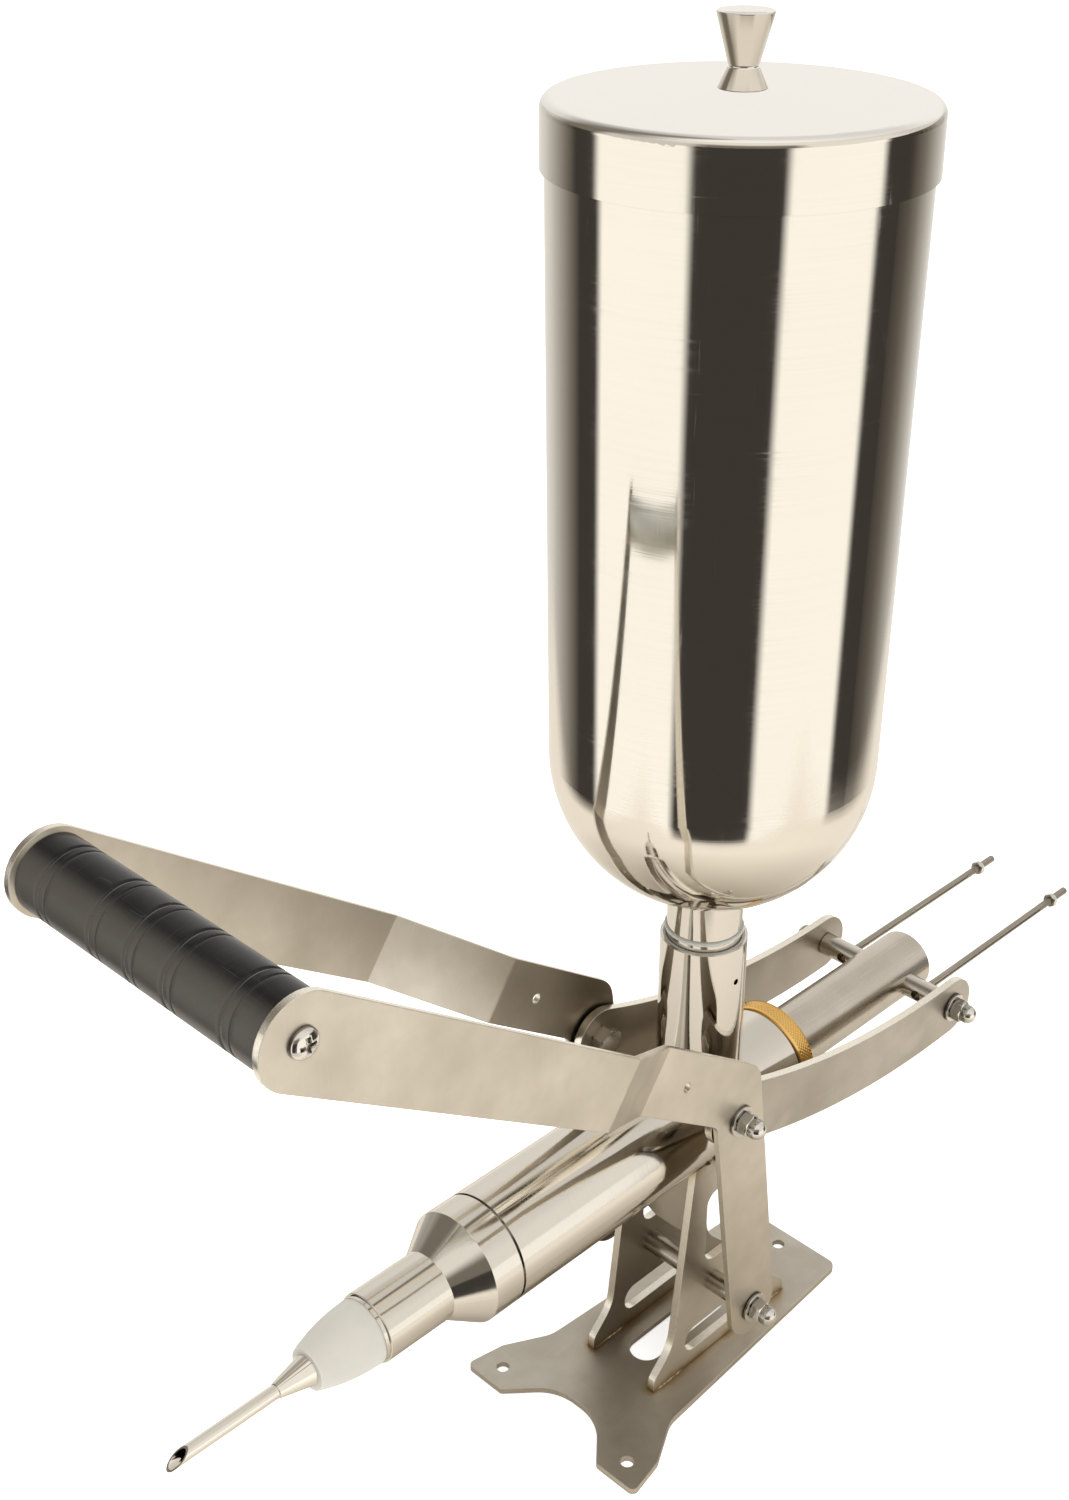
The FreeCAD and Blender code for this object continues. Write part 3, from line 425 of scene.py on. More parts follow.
def golden_brass():
    """Brass with bright knurl crests, darker valleys and patches from handling."""
    material, tree, shader, place = start_material("knurled brass", 1.0, (0.90, 0.55, 0.17))
    haze = use(tree, SMUDGES, Vector=place, Scale=60.0)["Value"]
    colour = blend_colour(tree, haze, (1.0, 0.67, 0.24, 1), (1.0, 0.58, 0.16, 1))
    valley = remap(tree, from_barrel_axis(tree, place), KNURL_R - KNURL_DEPTH, KNURL_R, 0.60, 0.0)
    colour = blend_colour(tree, valley, colour, (0.56, 0.28, 0.06, 1))
    tree.links.new(colour, shader.inputs["Base Color"])
    tree.links.new(remap(tree, haze, 0, 1, 0.20, 0.32), shader.inputs["Roughness"])
    speck = noise(tree, place, 2200.0, 2.0, 0.6)
    bump = put(tree, "ShaderNodeBump", None, {"Strength": 0.12, "Distance": 0.0001, "Height": speck})
    tree.links.new(bump.outputs[0], shader.inputs["Normal"])
    return material


def black_sleeve():
    """Satin black sleeve: fine pebbling, a painted highlight along the side that looks forward and up, fine
    ring lines and hairline scratches.
    """
    material, tree, shader, place = start_material("black sleeve", 0.0, (0.007, 0.007, 0.007), IOR=1.32)
    haze = use(tree, SMUDGES, Vector=place, Scale=34.0)["Value"]
    scratch = use(tree, FINE_SCRATCHES, Vector=place, Scale=1.5, Threshold=0.72)["Mask"]
    # Painted highlight: a paler band along the sleeve on the side that looks forward and a little up.
    part = split(tree, place)
    forward = math_node(tree, "MULTIPLY", math_node(tree, "SUBTRACT", GRIP.y, part["Y"]), 0.934 / GRIP_R)
    upward = math_node(tree, "MULTIPLY", math_node(tree, "SUBTRACT", part["Z"], GRIP.z), 0.358 / GRIP_R)
    painted_highlight = remap(tree, math_node(tree, "ADD", forward, upward), 0.62, 1.0, 0.0, 1.0, smooth=True)
    colour = blend_colour(tree, haze, (0.005, 0.005, 0.005, 1), (0.010, 0.010, 0.010, 1))
    colour = blend_colour(tree, math_node(tree, "MULTIPLY", painted_highlight, 0.8), colour, (0.088, 0.080, 0.070, 1))
    colour = blend_colour(tree, math_node(tree, "MULTIPLY", scratch, 0.25), colour, (0.07, 0.07, 0.07, 1))
    tree.links.new(colour, shader.inputs["Base Color"])
    tree.links.new(remap(tree, haze, 0, 1, 0.22, 0.30), shader.inputs["Roughness"])
    pebble = noise(tree, place, 1800.0, 3.0, 0.6)
    line = use(tree, POLISH_LINES, Vector=place, Stretch=(2600, 60, 60))
    height = math_node(tree, "ADD", pebble, math_node(tree, "MULTIPLY", line["Height"], 0.6))
    bump = put(tree, "ShaderNodeBump", None, {"Strength": 0.10, "Distance": 0.0001, "Height": height})
    tree.links.new(bump.outputs[0], shader.inputs["Normal"])
    return material


def milky_plastic(name, colour, depth, rough=0.42):
    """Translucent moulded plastic or rubber with a faint orange-peel skin."""
    material, tree, shader, place = start_material(
        name, 0.0, colour, IOR=1.49, Subsurface_Weight=0.6, Subsurface_Scale=depth)
    shader.inputs["Subsurface Radius"].default_value = (1.0, 0.95, 0.9)
    haze = use(tree, SMUDGES, Vector=place, Scale=45.0)["Value"]
    shade = tuple(c * 0.94 for c in colour)
    tree.links.new(blend_colour(tree, haze, (*colour, 1), (*shade, 1)), shader.inputs["Base Color"])
    tree.links.new(remap(tree, haze, 0, 1, rough - 0.05, rough + 0.06), shader.inputs["Roughness"])
    peel = noise(tree, place, 900.0, 2.0, 0.5)
    bump = put(tree, "ShaderNodeBump", None, {"Strength": 0.05, "Distance": 0.0002, "Height": peel})
    tree.links.new(bump.outputs[0], shader.inputs["Normal"])
    return material


def black_rubber():
    """Dull seal rubber with a fine dusting."""
    material, tree, shader, place = start_material("seal rubber", 0.0, (0.02, 0.02, 0.02))
    haze = use(tree, SMUDGES, Vector=place, Scale=80.0)["Value"]
    tree.links.new(blend_colour(tree, haze, (0.015, 0.015, 0.015, 1), (0.045, 0.043, 0.04, 1)),
                   shader.inputs["Base Color"])
    tree.links.new(remap(tree, haze, 0, 1, 0.55, 0.75), shader.inputs["Roughness"])
    return material


def weld_metal():
    """Weld bead: rippled steel with straw and brown patches."""
    material, tree, shader, place = start_material("weld bead", 1.0, (0.55, 0.47, 0.36))
    patch = noise(tree, place, 420.0, 3.0, 0.6)
    colour = ramp(tree, patch, [(0.3, (0.62, 0.56, 0.46)), (0.5, (0.52, 0.41, 0.26)),
                                (0.68, (0.26, 0.17, 0.09))])
    tree.links.new(colour, shader.inputs["Base Color"])
    tree.links.new(remap(tree, patch, 0.3, 0.7, 0.25, 0.5), shader.inputs["Roughness"])
    bump = put(tree, "ShaderNodeBump", None, {"Strength": 0.25, "Distance": 0.0003, "Height": patch})
    tree.links.new(bump.outputs[0], shader.inputs["Normal"])
    return material


# Masks and distances in metres from a point's place
def split(tree, place):
    return put(tree, "ShaderNodeSeparateXYZ", None, {0: place}).outputs


def from_barrel_axis(tree, place):
    """How far a point is from the barrel's axis."""
    part = split(tree, place)
    up = math_node(tree, "SUBTRACT", part["Z"], BARREL_Z)
    square = math_node(tree, "ADD", math_node(tree, "MULTIPLY", part["X"], part["X"]),
                       math_node(tree, "MULTIPLY", up, up))
    return math_node(tree, "SQRT", square)


def from_barrel_skin(tree, place):
    """How far a point is from the barrel's outer skin."""
    return math_node(tree, "ABSOLUTE", math_node(tree, "SUBTRACT", from_barrel_axis(tree, place), BARREL_R))


def inner_faces(tree, place):
    """Mask of the faces that look toward the machine's middle plane."""
    facing = split(tree, put(tree, "ShaderNodeTexCoord").outputs["Normal"])["X"]
    toward = math_node(tree, "MULTIPLY", facing, split(tree, place)["X"])
    return math_node(tree, "LESS_THAN", toward, -0.003)


def upright_welds(tree, place):
    """Nearer of the two welds of an upright: at its foot and under the barrel."""
    foot = math_node(tree, "ABSOLUTE", math_node(tree, "SUBTRACT", split(tree, place)["Z"], BASE_TOP))
    return math_node(tree, "MINIMUM", foot, from_barrel_skin(tree, place))


def base_welds(tree, place):
    """Distance on the base plate from the two uprights' feet."""
    part = split(tree, place)
    side = math_node(tree, "ABSOLUTE",
                     math_node(tree, "SUBTRACT", math_node(tree, "ABSOLUTE", part["X"]), UPRIGHT_X))
    end = math_node(tree, "SUBTRACT",
                    math_node(tree, "ABSOLUTE", math_node(tree, "SUBTRACT", part["Y"], HOPPER_Y)),
                    UPRIGHT_FOOT)
    off_side = math_node(tree, "MAXIMUM", math_node(tree, "SUBTRACT", side, UPRIGHT_T / 2), 0.0)
    off_end = math_node(tree, "MAXIMUM", end, 0.0)
    return math_node(tree, "ADD", off_side, off_end)


def rod_thread(tree, place):
    """M4 thread on the last stretch of the stop rods."""
    part = split(tree, place)
    side = math_node(tree, "SUBTRACT", math_node(tree, "ABSOLUTE", part["X"]), ROD_X)
    turn = math_node(tree, "ARCTAN2", math_node(tree, "SUBTRACT", part["Z"], BARREL_Z), side)
    phase = math_node(tree, "ADD", math_node(tree, "MULTIPLY", part["Y"], 2 * math.pi / THREAD_PITCH), turn)
    groove = remap(tree, math_node(tree, "SINE", phase), -1, 1, 1, 0)
    threaded = math_node(tree, "GREATER_THAN", part["Y"], ROD_THREAD_Y)
    return math_node(tree, "SUBTRACT", 1.0, math_node(tree, "MULTIPLY", groove, threaded))


AROUND_HOPPER = (14, 14, 1500)
AROUND_BARREL = (20, 1500, 20)
ACROSS = (1500, 20, 20)

MIRROR_UP = polished_steel("polished steel hopper", AROUND_HOPPER)
MIRROR_TUBE = polished_steel("polished steel tubes", AROUND_HOPPER, tone=(0.77, 0.735, 0.67))
MIRROR_LID = polished_steel("polished steel lid", (16, 16, 1800), rough=(0.05, 0.09), satin_top_painted_light=0.05)
MIRROR_ALONG = polished_steel("polished steel barrel", AROUND_BARREL, tone=(0.81, 0.77, 0.70),
                              rough=(0.07, 0.12))
MIRROR_NEEDLE = polished_steel("polished steel needle", (60, 2600, 60), tone=(0.93, 0.885, 0.81),
                               rough=(0.04, 0.08))
TURNED_KNOB = polished_steel("turned knob", (20, 20, 3500), tone=(0.82, 0.755, 0.66), rough=(0.06, 0.10),
                             lines=0.10,
                             satin_top_painted_light=0.04)
PLATE_SIDE = sheet_steel("sheet steel upright", (1, 0, 0), tone=(0.88, 0.83, 0.745), tint=upright_welds,
                         reach=0.045,
                         inner_shade=(0.0, 1.0, 0.55, 0.55), painted_crevice_shade=0.42)
PLATE_BASE = sheet_steel("sheet steel base", (0, 0, 1), tone=(0.70, 0.655, 0.585), tint=base_welds,
                         mottled=0.7)
PLATE_ARM = sheet_steel("sheet steel lever", (1, 0, 0), tone=(0.76, 0.705, 0.62),
                        inner_shade=(-0.02, 0.075, 0.0, 0.85))
PLATE_LINK = sheet_steel("sheet steel link", (1, 0, 0), tone=(0.57, 0.53, 0.47),
                         inner_shade=(0.2424, 0.10, 0.0, 0.30))
PLATE_WEB = sheet_steel("sheet steel web", (0, 1, 0), tint=from_barrel_skin)
DRAWN_TUBE = satin_steel("drawn tube", (500, 12, 500), (0.71, 0.66, 0.58), 0.28, lines=0.08)
BARE_CORE = satin_steel("bare aluminium core", ACROSS, (0.80, 0.84, 0.83), 0.42, painted_crevice_shade=0.0)
PIVOT_TUBE = satin_steel("pivot tube", ACROSS, (0.52, 0.47, 0.40), 0.20)
PIN_STEEL = satin_steel("turned pin", ACROSS, (0.76, 0.715, 0.645), 0.18)
ROD_STEEL = satin_steel("threaded rod", (300, 900, 300), (0.44, 0.40, 0.34), 0.22, lines=0.25,
                        wave=rod_thread)
PLATED = bright_plating("bright fastener")
BRASS = golden_brass()
BLACK = black_sleeve()
MILKY = milky_plastic("natural plastic", (0.60, 0.58, 0.53), 0.004)
SEAL_WHITE = milky_plastic("clear silicone", (0.60, 0.60, 0.56), 0.003, 0.28)
RUBBER = black_rubber()
WELD = weld_metal()

FINISH = {
    MIRROR_UP: ["hopper_shell"],
    MIRROR_TUBE: ["hopper_spigot", "receiver_tube"],
    MIRROR_LID: ["lid_shell"],
    MIRROR_ALONG: ["barrel", "nose_cap"],
    MIRROR_NEEDLE: ["nozzle_hub", "needle"],
    TURNED_KNOB: ["lid_knob"],
    PLATE_SIDE: ["upright_left", "upright_right"],
    PLATE_BASE: ["base_plate"],
    PLATE_WEB: ["cross_web"],
    PLATE_ARM: ["lever_arm_left", "lever_arm_right"],
    PLATE_LINK: ["link_left", "link_right"],
    DRAWN_TUBE: ["piston_tube", "piston_head"],
    BARE_CORE: ["grip_core"],
    PIVOT_TUBE: ["pivot_cross_tube", "pivot_spacers"],
    PIN_STEEL: ["stub_left", "stub_right", "elbow_spacers", "pivot_rod", "elbow_thread_ends", "rear_studs",
                "knob_screw", "elbow_bolts"],
    ROD_STEEL: ["stop_rods"],
    PLATED: ["pivot_washers", "elbow_washers", "rear_washers", "pivot_acorn_nuts", "elbow_acorn_nuts",
             "rear_acorn_nuts", "rod_nuts", "grip_screws"],
    BRASS: ["gland_nut"],
    BLACK: ["grip_sleeve"],
    MILKY: ["nozzle_cap"],
    SEAL_WHITE: ["hopper_rings", "piston_rings"],
    RUBBER: ["nose_gasket", "gland_seal"],
}
for material, names in FINISH.items():
    for name in names:
        cad[name].data.materials.clear()
        cad[name].data.materials.append(material)


# ---------------------------------------------------------------- pieces dressed in the scene
def skin(bm, around, along, place_at):
    """Add a closed skin: a grid whose points are set by a rule of (angle, row)."""
    verts = bmesh.ops.create_grid(bm, x_segments=around, y_segments=along, size=1.0)["verts"]
    half = max(vert.co.x for vert in verts)
    for vert in verts:
        turn = round((vert.co.x / half + 1) / 2 * around)
        row = round((vert.co.y / half + 1) / 2 * along)
        vert.co = place_at(2 * math.pi * (turn % around) / around, row)


def finished(bm, name, body, material, nodes=(), sharp=32):
    """Join seams, mark the sharp edges, and hand the mesh over as one piece of a body."""
    bmesh.ops.remove_doubles(bm, verts=bm.verts, dist=1e-6)
    bmesh.ops.dissolve_degenerate(bm, dist=1e-7, edges=bm.edges)
    bmesh.ops.recalc_face_normals(bm, faces=bm.faces)
    for face in bm.faces:
        face.smooth = True
    for edge in bm.edges:
        edge.smooth = edge.calc_face_angle(0) < math.radians(sharp)
    mesh = bpy.data.meshes.new(name)
    bm.to_mesh(mesh)
    bm.free()
    mesh.materials.append(material)
    piece = bpy.data.objects.new(name, mesh)
    scene.collection.objects.link(piece)
    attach(piece, body)
    if nodes:
        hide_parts(*nodes)
    return piece


def about_x(centre, start, side):
    """Rule for a shape turned about a line along X: (angle, station, radius) to a place."""
    def place(angle, station, radius):
        return Vector((start + side * station, centre.y + radius * math.cos(angle),
                       centre.z + radius * math.sin(angle)))
    return place


def about_barrel(angle, station, radius):
    return Vector((radius * math.cos(angle), station, BARREL_Z + radius * math.sin(angle)))


def about_hopper(angle, station, radius):
    return Vector((radius * math.cos(angle), HOPPER_Y + radius * math.sin(angle), station))


def turned_skin(bm, around, rows, place, radius_at=None):
    """Skin turned from (station, radius) rows; radius_at may change a radius by angle and station."""
    def place_at(angle, row):
        station, radius = rows[row]
        if radius_at:
            radius = radius_at(angle, station, radius)
        return place(angle, station, radius)
    skin(bm, around, len(rows) - 1, place_at)


def hex_radius(angle, flats):
    """Distance from the centre to a hexagon's side in one direction."""
    return flats / 2 / math.cos((angle + math.pi / 6) % (math.pi / 3) - math.pi / 6)


def acorn_rows():
    """Bore, hexagon with turned-off corners, neck and dome of an M6 acorn nut."""
    rows = [(9.0, 0.0), (9.0, 3.05), (0.0, 3.05), (0.0, 4.85), (0.18, 5.15), (0.36, 5.46), (0.54, 5.80),
            (4.96, 5.80), (5.14, 5.46), (5.32, 5.15), (5.5, 4.85), (5.5, 4.5), (5.9, 4.42), (6.4, 4.5),
            (6.7, 4.75)]
    dome_foot = 12.0 - 4.75
    for step in range(10):
        lean = math.pi / 2 * step / 9
        rows.append((dome_foot + 4.75 * math.sin(lean), 4.75 * math.cos(lean)))
    return [(station * MM, radius * MM) for station, radius in rows]


def hex_limit(turn):
    """Rule that keeps the wide rows of a nut inside its hexagon, turned by an angle."""
    def radius_at(angle, station, radius):
        return min(radius, hex_radius(angle + turn, NUT_FLATS))
    return radius_at


def fastener_place(node):
    """Middle of a pair of fasteners in Y and Z, and the outermost X of the left one."""
    low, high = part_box(node)
    return (Vector(low) + Vector(high)) / 2, high[0]


NUT_TURNS = {"pivot": 0.35, "elbow": 0.12, "rear": 0.75}
WASHER_ROWS = [(0.0, 3.1), (0.0, 7.3), (0.08, 7.42), (0.2, 7.5), (1.3, 7.5), (1.42, 7.42), (1.5, 7.3),
               (1.5, 3.1), (0.0, 3.1)]
for joint, body in (("pivot", "frame"), ("elbow", "lever"), ("rear", "piston")):
    centre, end_x = fastener_place(joint + "_acorn_nuts")
    bm = bmesh.new()
    for side in (1, -1):
        turned_skin(bm, 72, acorn_rows(), about_x(centre, side * (end_x - NUT_LENGTH), side),
                    hex_limit(NUT_TURNS[joint]))
    finished(bm, joint + "_nuts", body, PLATED, [joint + "_acorn_nuts"], sharp=24)
    centre, end_x = fastener_place(joint + "_washers")
    bm = bmesh.new()
    for side in (1, -1):
        rows = [(station * MM, radius * MM) for station, radius in WASHER_ROWS]
        turned_skin(bm, 72, rows, about_x(centre, side * (end_x - WASHER_THICK), side))
    finished(bm, joint + "_flat_washers", body, PLATED, [joint + "_washers"])


SLOT_HALF = 0.75 * MM
SLOT_REACH = 2.8 * MM
SLOT_DEPTH = 1.5 * MM


def screw_dome(centre, start, side):
    """Rule for a pan-head screw whose head has a cross recess."""
    def place(angle, station, radius):
        across = radius * math.cos(angle)
        up = radius * math.sin(angle)
        if station > SLOT_DEPTH:
            wide, tall = abs(across), abs(up)
            arm = min(max(wide / SLOT_HALF, tall / SLOT_REACH), max(tall / SLOT_HALF, wide / SLOT_REACH))
            station -= SLOT_DEPTH * min(1.0, max(0.0, (1.25 - arm) / 0.4))
        return Vector((start + side * station, centre.y + across, centre.z + up))
    return place


def screw_rows():
    rows = [(-12.0, 0.0), (-12.0, 2.9), (0.0, 2.9), (0.0, 5.8), (0.25, 6.0), (0.7, 6.0)]
    for step in range(1, 25):
        lean = math.pi / 2 * step / 24
        rows.append((0.7 + 2.9 * math.sin(lean), 6.0 * math.cos(lean) ** 0.8))
    rows[-1] = (3.6, 0.0)
    return [(station * MM, radius * MM) for station, radius in rows]


centre, end_x = fastener_place("grip_screws")
bm = bmesh.new()
for side in (1, -1):
    turned_skin(bm, 96, screw_rows(), screw_dome(centre, side * (end_x - HEAD_HEIGHT), side))
finished(bm, "grip_pan_screws", "lever", PLATED, ["grip_screws"], sharp=45)

# Grip sleeve: each pair of grooves is one soft wide step and one thin line
GRIP_WALL = 3.0 * MM
GROOVE_PAIRS = (-53.0, -21.5, 0.0, 21.5, 53.0)
GROOVES = [(place - 2.5, 2.6, 0.55) for place in GROOVE_PAIRS]
GROOVES += [(place + 2.5, 1.2, 0.50) for place in GROOVE_PAIRS]


def grip_radius(station):
    """Sleeve radius at a place along it, with its rounded ends and grooves."""
    radius = GRIP_R
    for place, width, depth in GROOVES:
        share = abs(station / MM - place) / (width / 2)
        if share < 1:
            radius -= depth * MM * (0.5 + 0.5 * math.cos(math.pi * share))
    return radius


low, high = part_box("grip_sleeve")
half_grip = high[0]
stations = {-half_grip + 0.6 * MM, half_grip - 0.6 * MM}
stations |= {step * 2.0 * MM for step in range(-34, 35)}
for place, width, depth in GROOVES:
    stations |= {(place + width / 2 * step / 6) * MM for step in range(-6, 7)}
rows = [(-half_grip, GRIP_R - GRIP_WALL), (-half_grip, GRIP_R - 0.6 * MM)]
rows += [(station, grip_radius(station)) for station in sorted(stations)]
rows += [(half_grip, GRIP_R - 0.6 * MM), (half_grip, GRIP_R - GRIP_WALL), (-half_grip, GRIP_R - GRIP_WALL)]
bm = bmesh.new()
turned_skin(bm, 80, rows, about_x(GRIP, 0.0, 1))
grip = finished(bm, "grooved_grip", "lever", BLACK, ["grip_sleeve"])
grip.visible_glossy = False

# Brass gland: two sets of slanting grooves cross on its rim
KNURLS = 84
KNURL_PITCH = 1.9 * MM
low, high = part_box("gland_nut")
rim_front = high[1] - 10.8 * MM
knurl_from = rim_front + 2.6 * MM
knurl_to = high[1] - 1.4 * MM


def knurled(angle, station, radius):
    """Radius of the rim with its crossing grooves."""
    if radius < KNURL_R - MM or station < knurl_from or station > knurl_to:
        return radius
    slant = math.pi * station / KNURL_PITCH
    crest = abs(math.sin(KNURLS * angle / 2 + slant) * math.sin(KNURLS * angle / 2 - slant))
    return radius - KNURL_DEPTH * (1 - crest ** 0.6)


rows = [(low[1], 19.05 * MM), (low[1], 24.25 * MM), (rim_front, 24.25 * MM), (rim_front, 25.7 * MM),
        (rim_front + 0.9 * MM, KNURL_R - 0.1 * MM), (rim_front + 1.3 * MM, KNURL_R),
        (knurl_from - 0.1 * MM, KNURL_R)]
rows += [(knurl_from + (knurl_to - knurl_from) * step / 24, KNURL_R) for step in range(25)]
rows += [(knurl_to + 0.1 * MM, KNURL_R), (high[1] - 0.9 * MM, KNURL_R - 0.1 * MM), (high[1], 25.7 * MM),
         (high[1], 16.05 * MM), (low[1] + 3 * MM, 16.05 * MM), (low[1] + 3 * MM, 19.05 * MM),
         (low[1], 19.05 * MM)]
bm = bmesh.new()
turned_skin(bm, KNURLS * 6, rows, about_barrel, knurled)
finished(bm, "knurled_gland", "frame", BRASS, ["gland_nut"], sharp=40)

# Lid knob: two cones with a fine turned step at the waist and a rolled upper edge
low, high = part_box("lid_knob")
KNOB_ROWS = [(12.0, 0.0), (12.0, 2.55), (0.0, 2.55), (0.0, 9.3), (0.25, 9.5), (7.4, 6.2), (7.75, 5.95),
             (8.0, 5.7),
             (8.3, 5.65), (8.6, 5.8), (8.9, 6.05), (27.2, 11.0), (27.6, 11.12), (27.95, 11.0), (28.15, 10.7),
             (28.2, 10.2), (28.05, 9.6), (28.05, 0.0)]
bm = bmesh.new()
turned_skin(bm, 96, [(low[2] + station * MM, radius * MM) for station, radius in KNOB_ROWS], about_hopper)
knob = finished(bm, "turned_lid_knob", "lid", TURNED_KNOB, ["lid_knob"], sharp=28)
knob.visible_glossy = False
cad["knob_screw"].visible_glossy = False

# Clear lip of the upper ring, seated in the mouth of the receiver tube
LIP_ROWS = []
for step in range(17):
    lean = math.pi * step / 8
    LIP_ROWS.append((238.6 + 0.65 * math.sin(lean), 18.1 + 0.65 * math.cos(lean)))
bm = bmesh.new()
turned_skin(bm, 96, [(station * MM, radius * MM) for station, radius in LIP_ROWS], about_hopper)
finished(bm, "clear_ring_lip", "hopper", SEAL_WHITE)


# Weld beads
def ripple(place):
    return blender_noise.noise(Vector(place) * 420)


def bead_along(bm, x, z, y_from, y_to, radius):
    """Uneven bead along Y, tapered to nothing at both ends."""
    count = max(6, round((y_to - y_from) / (0.7 * MM)))

    def place_at(angle, row):
        share = row / count
        y = y_from + (y_to - y_from) * share
        swell = radius * (0.80 + 0.75 * ripple((x, y, z))) * min(1.0, 6 * share, 6 * (1 - share))
        return Vector((x + swell * math.cos(angle), y, z + swell * math.sin(angle)))
    skin(bm, 12, count, place_at)


def bead_around(bm, ring_r, centre_y, height_at, radius):
    """Smooth bead around a tube, at a height given for each bearing."""
    def place_at(angle, row):
        lean = 2 * math.pi * row / 12
        x = ring_r * math.cos(angle)
        y = ring_r * math.sin(angle)
        out = radius * math.cos(lean) / ring_r
        return Vector((x * (1 + out), centre_y + y * (1 + out), height_at(x) + radius * math.sin(lean)))
    skin(bm, 120, 12, place_at)


bm = bmesh.new()
for side in (1, -1):
    for face_x, drop in ((UPRIGHT_X + UPRIGHT_T / 2, 0.3 * MM), (UPRIGHT_X - UPRIGHT_T / 2, 0.8 * MM)):
        touch_z = BARREL_Z - math.sqrt(BARREL_R ** 2 - face_x ** 2)
        bead_along(bm, side * face_x, touch_z - drop, HOPPER_Y - UPRIGHT_TOP - MM,
                   HOPPER_Y + UPRIGHT_TOP + MM, 1.6 * MM)
finished(bm, "upright_barrel_welds", "frame", WELD)

bm = bmesh.new()
for side in (1, -1):
    for face_x in (UPRIGHT_X + UPRIGHT_T / 2, UPRIGHT_X - UPRIGHT_T / 2):
        for y_from, y_to in ((-0.049, -0.028), (0.028, 0.049)):
            bead_along(bm, side * face_x, 3.05 * MM, HOPPER_Y + y_from, HOPPER_Y + y_to, 0.75 * MM)
finished(bm, "upright_foot_welds", "frame", WELD)

bm = bmesh.new()
bead_around(bm, RECEIVER_R, HOPPER_Y, lambda x: BARREL_Z + math.sqrt(BARREL_R ** 2 - x ** 2), 0.9 * MM)
finished(bm, "receiver_weld", "frame", MIRROR_ALONG)

SPIGOT_R = 17.4 * MM
BOWL_R = 71.9 * MM
BOWL_Z = 336.0 * MM
bm = bmesh.new()
bead_around(bm, SPIGOT_R, HOPPER_Y, lambda x: BOWL_Z - math.sqrt(BOWL_R ** 2 - SPIGOT_R ** 2), 0.8 * MM)
finished(bm, "spigot_weld", "hopper", MIRROR_TUBE)


# ---------------------------------------------------------------- studio
floor_mesh = bpy.data.meshes.new("floor")
bm = bmesh.new()
bmesh.ops.create_grid(bm, x_segments=1, y_segments=1, size=9.0)
bmesh.ops.translate(bm, vec=(0, 0, -0.0004), verts=bm.verts)
bm.to_mesh(floor_mesh)
bm.free()
floor = bpy.data.objects.new("floor", floor_mesh)
scene.collection.objects.link(floor)
floor.visible_glossy = False
floor_material, _, floor_shader, _ = start_material("pale floor", 0.0, (0.93, 0.93, 0.93))
floor_shader.inputs["Roughness"].default_value = 0.8
floor_shader.inputs["Emission Color"].default_value = (1, 1, 1, 1)
floor_shader.inputs["Emission Strength"].default_value = 0.6
floor_mesh.materials.append(floor_material)


def bearing_stop(degrees):
    return degrees / 360 + 0.5


def band(*stops):
    """Ramp stops of the room's tones from (bearing in degrees, tone) pairs."""
    return [(bearing_stop(degrees), tone) for degrees, tone in stops]


world = bpy.data.worlds.new("studio")
scene.world = world
world.use_nodes = True
sky = world.node_tree
sky.nodes.clear()
toward_camera = math.atan2(-0.71, 0.704)
aim = put(sky, "ShaderNodeTexCoord").outputs["Generated"]
turned = put(sky, "ShaderNodeMapping", {"vector_type": "POINT"},
             {"Vector": aim, "Rotation": (0, 0, -toward_camera)}).outputs[0]
part = split(sky, turned)
bearing = math_node(sky, "ARCTAN2", part["Y"], part["X"])
around = remap(sky, bearing, -math.pi, math.pi, 0.0, 1.0)
BRIGHT = (1.15, 1.12, 1.05)
LIGHT = (0.90, 0.87, 0.82)
PALE = (0.70, 0.68, 0.64)
GREY = (0.45, 0.43, 0.40)
DIM = (0.20, 0.18, 0.15)
DARK = (0.05, 0.045, 0.04)
BENCH = (0.75, 0.70, 0.65, 1)

# Two bright upright panels on dark walls, a paler wall behind the machine, and a pale ceiling
walls = ramp(sky, around, band(
    (-180, LIGHT), (-150, PALE), (-135, GREY), (-120, DIM), (-110, DARK), (-95, DARK), (-90, BRIGHT),
    (-35, BRIGHT), (-30, DARK), (20, DARK), (25, BRIGHT), (80, BRIGHT), (85, DARK), (105, DARK),
    (120, DIM), (135, GREY), (150, PALE), (165, LIGHT),
))
high_walls = ramp(sky, around, band(
    (-180, LIGHT), (-140, PALE), (-120, DIM), (-95, DIM), (-85, PALE), (-35, PALE), (-25, DIM), (25, DIM),
    (35, LIGHT), (85, LIGHT), (110, PALE), (145, LIGHT),
))
ceiling = ramp(sky, around, band(
    (-180, PALE), (-120, DIM), (-95, DIM), (-50, LIGHT), (50, LIGHT), (125, PALE),
))
above = remap(sky, part["Z"], 0.10, 0.16, 0.0, 1.0, smooth=True)
zenith = remap(sky, part["Z"], 0.42, 0.68, 0.0, 1.0, smooth=True)
bench = remap(sky, part["Z"], -0.70, -0.62, 1.0, 0.0, smooth=True)
room = blend_colour(sky, above, walls, high_walls)
room = blend_colour(sky, zenith, room, ceiling)
room = blend_colour(sky, bench, room, BENCH)
seen = put(sky, "ShaderNodeLightPath").outputs["Is Camera Ray"]
shown = blend_colour(sky, seen, room, (1.1, 1.1, 1.1, 1))
background = put(sky, "ShaderNodeBackground", None, {"Color": shown, "Strength": 1.0})
put(sky, "ShaderNodeOutputWorld", None, {"Surface": background.outputs[0]})
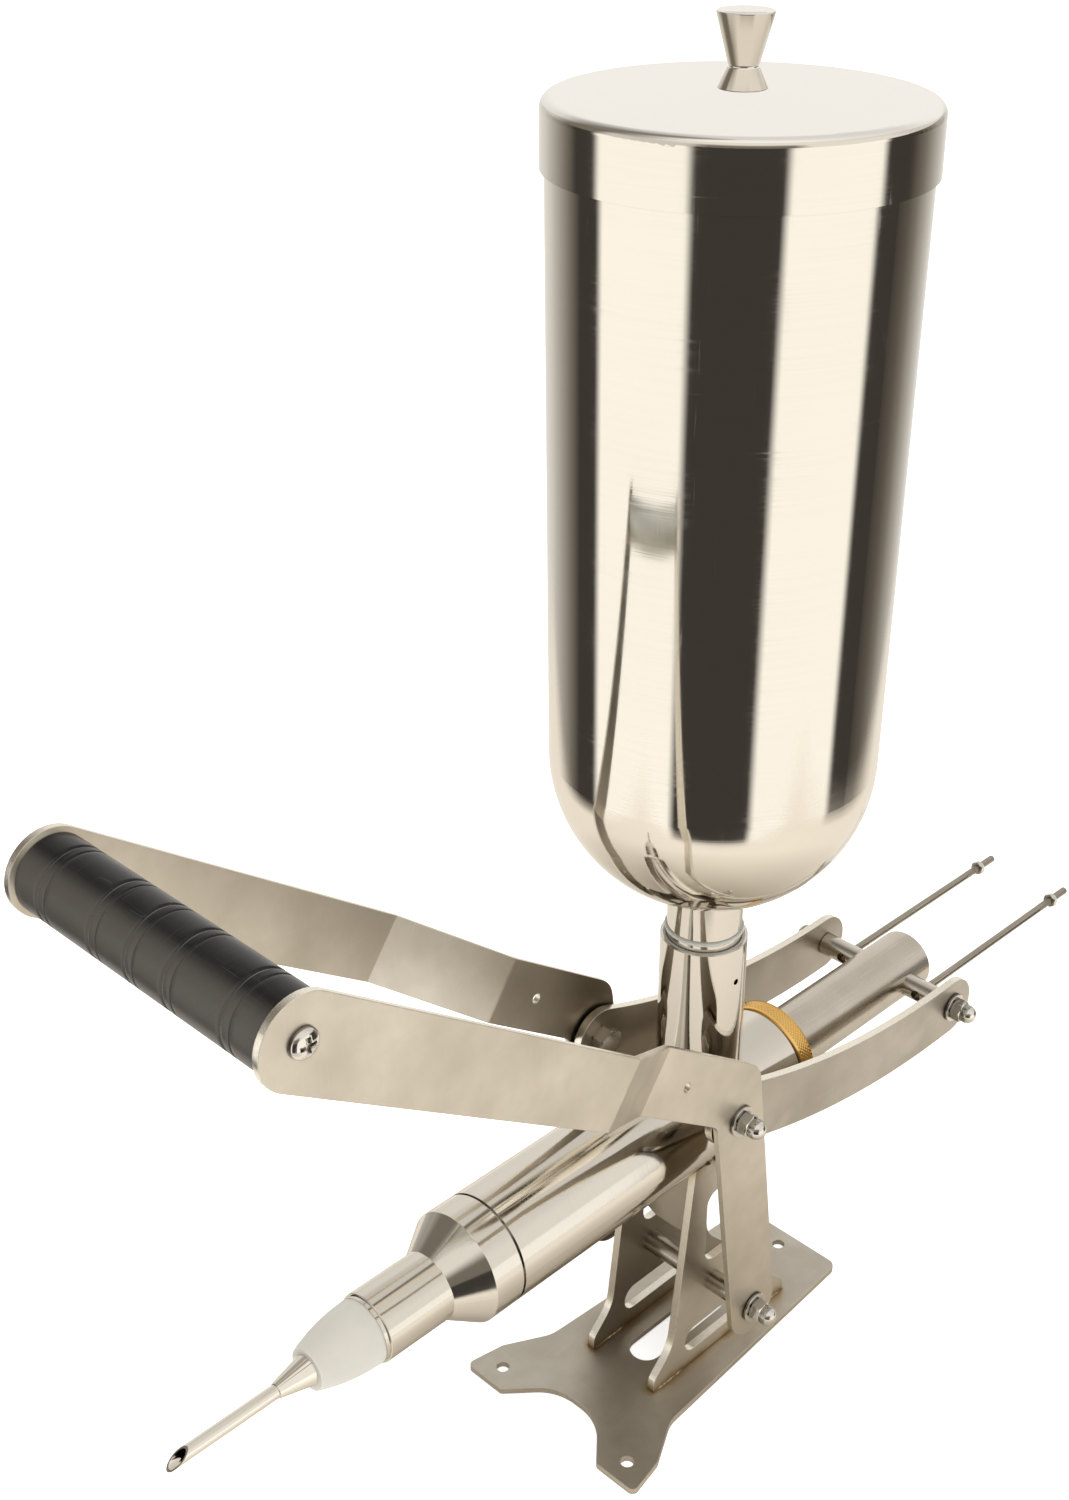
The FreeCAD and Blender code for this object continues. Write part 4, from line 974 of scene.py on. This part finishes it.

# Pale bench top that only the metal sees: it holds the machine's soft shadow in the reflections, cast by the
# softbox and also painted darker near the machine
bench_mesh = bpy.data.meshes.new("bench top")
bm = bmesh.new()
bmesh.ops.create_grid(bm, x_segments=1, y_segments=1, size=0.5)
bmesh.ops.scale(bm, vec=(1.60, 1.40, 1.0), verts=bm.verts)
bmesh.ops.translate(bm, vec=(-0.25, 0.05, 0), verts=bm.verts)
bmesh.ops.rotate(bm, cent=(0, 0, 0), matrix=Matrix.Rotation(toward_camera, 3, "Z"), verts=bm.verts)
bmesh.ops.translate(bm, vec=(0, HOPPER_Y, -0.0002), verts=bm.verts)
bm.to_mesh(bench_mesh)
bm.free()
bench_top = bpy.data.objects.new("bench top", bench_mesh)
scene.collection.objects.link(bench_top)
for kind in ("visible_camera", "visible_diffuse", "visible_shadow", "visible_transmission"):
    setattr(bench_top, kind, False)
bench_material, bench_tree, bench_shader, bench_place = start_material("pale bench", 0.0, (0.80, 0.75, 0.68))
part = split(bench_tree, bench_place)
aside = math_node(bench_tree, "MULTIPLY", part["X"], part["X"])
behind = math_node(bench_tree, "SUBTRACT", part["Y"], HOPPER_Y)
far = math_node(bench_tree, "SQRT",
                math_node(bench_tree, "ADD", aside, math_node(bench_tree, "MULTIPLY", behind, behind)))
# Painted shadow: the bench is darker near the machine and paler away from it.
bench_tree.links.new(
    ramp(bench_tree, math_node(bench_tree, "MULTIPLY", far, 2.0, clamp=True),
         [(0.10, (0.40, 0.36, 0.30)), (0.70, (0.78, 0.74, 0.68))]),
    bench_shader.inputs["Base Color"])
to_room = Matrix.Rotation(-toward_camera, 3, "Z")
placed = split(bench_tree, stretched(bench_tree, bench_place, (1, 1, 1),
                                     -(to_room @ Vector((0, HOPPER_Y, 0))),
                                     (0, 0, -toward_camera)))
shown = 1.0
for axis, solid, gone in (("X", 0.36, 0.50), ("X", -0.60, -1.0), ("Y", 0.46, 0.66), ("Y", -0.44, -0.58)):
    shown = math_node(bench_tree, "MULTIPLY", shown,
                      remap(bench_tree, placed[axis], solid, gone, 1.0, 0.0, smooth=True))
bench_tree.links.new(shown, bench_shader.inputs["Alpha"])
bench_shader.inputs["Roughness"].default_value = 0.8
bench_shader.inputs["Specular IOR Level"].default_value = 0.2
bench_mesh.materials.append(bench_material)


def soft_light(name, place, target, size, power):
    data = bpy.data.lights.new(name, "AREA")
    data.shape = "RECTANGLE"
    data.size, data.size_y = size
    data.energy = power
    light = bpy.data.objects.new(name, data)
    scene.collection.objects.link(light)
    light.location = place
    light.rotation_euler = (Vector(target) - Vector(place)).to_track_quat("-Z", "Y").to_euler()
    light.visible_glossy = False
    return light


soft_light("top softbox", (0.3, -0.2, 2.2), (0, 0.05, 0.2), (1.8, 1.8), 40)

camera_data = bpy.data.cameras.new("camera")
camera_data.sensor_width = 36.0
camera_data.lens = 48.527
camera_data.shift_x = -0.0037
camera_data.shift_y = -0.0457
camera_data.clip_start = 0.01
camera = bpy.data.objects.new("camera", camera_data)
scene.collection.objects.link(camera)
camera.location = (0.4942, -0.5152, 0.7620)
heading = Matrix.Rotation(math.radians(44.77), 3, "Z")
tilt = Matrix.Rotation(math.radians(63.13), 3, "X")
roll = Matrix.Rotation(math.radians(0.11), 3, "Z")
camera.rotation_euler = (heading @ tilt @ roll).to_euler()
scene.camera = camera
scene.view_settings.view_transform = "Standard"
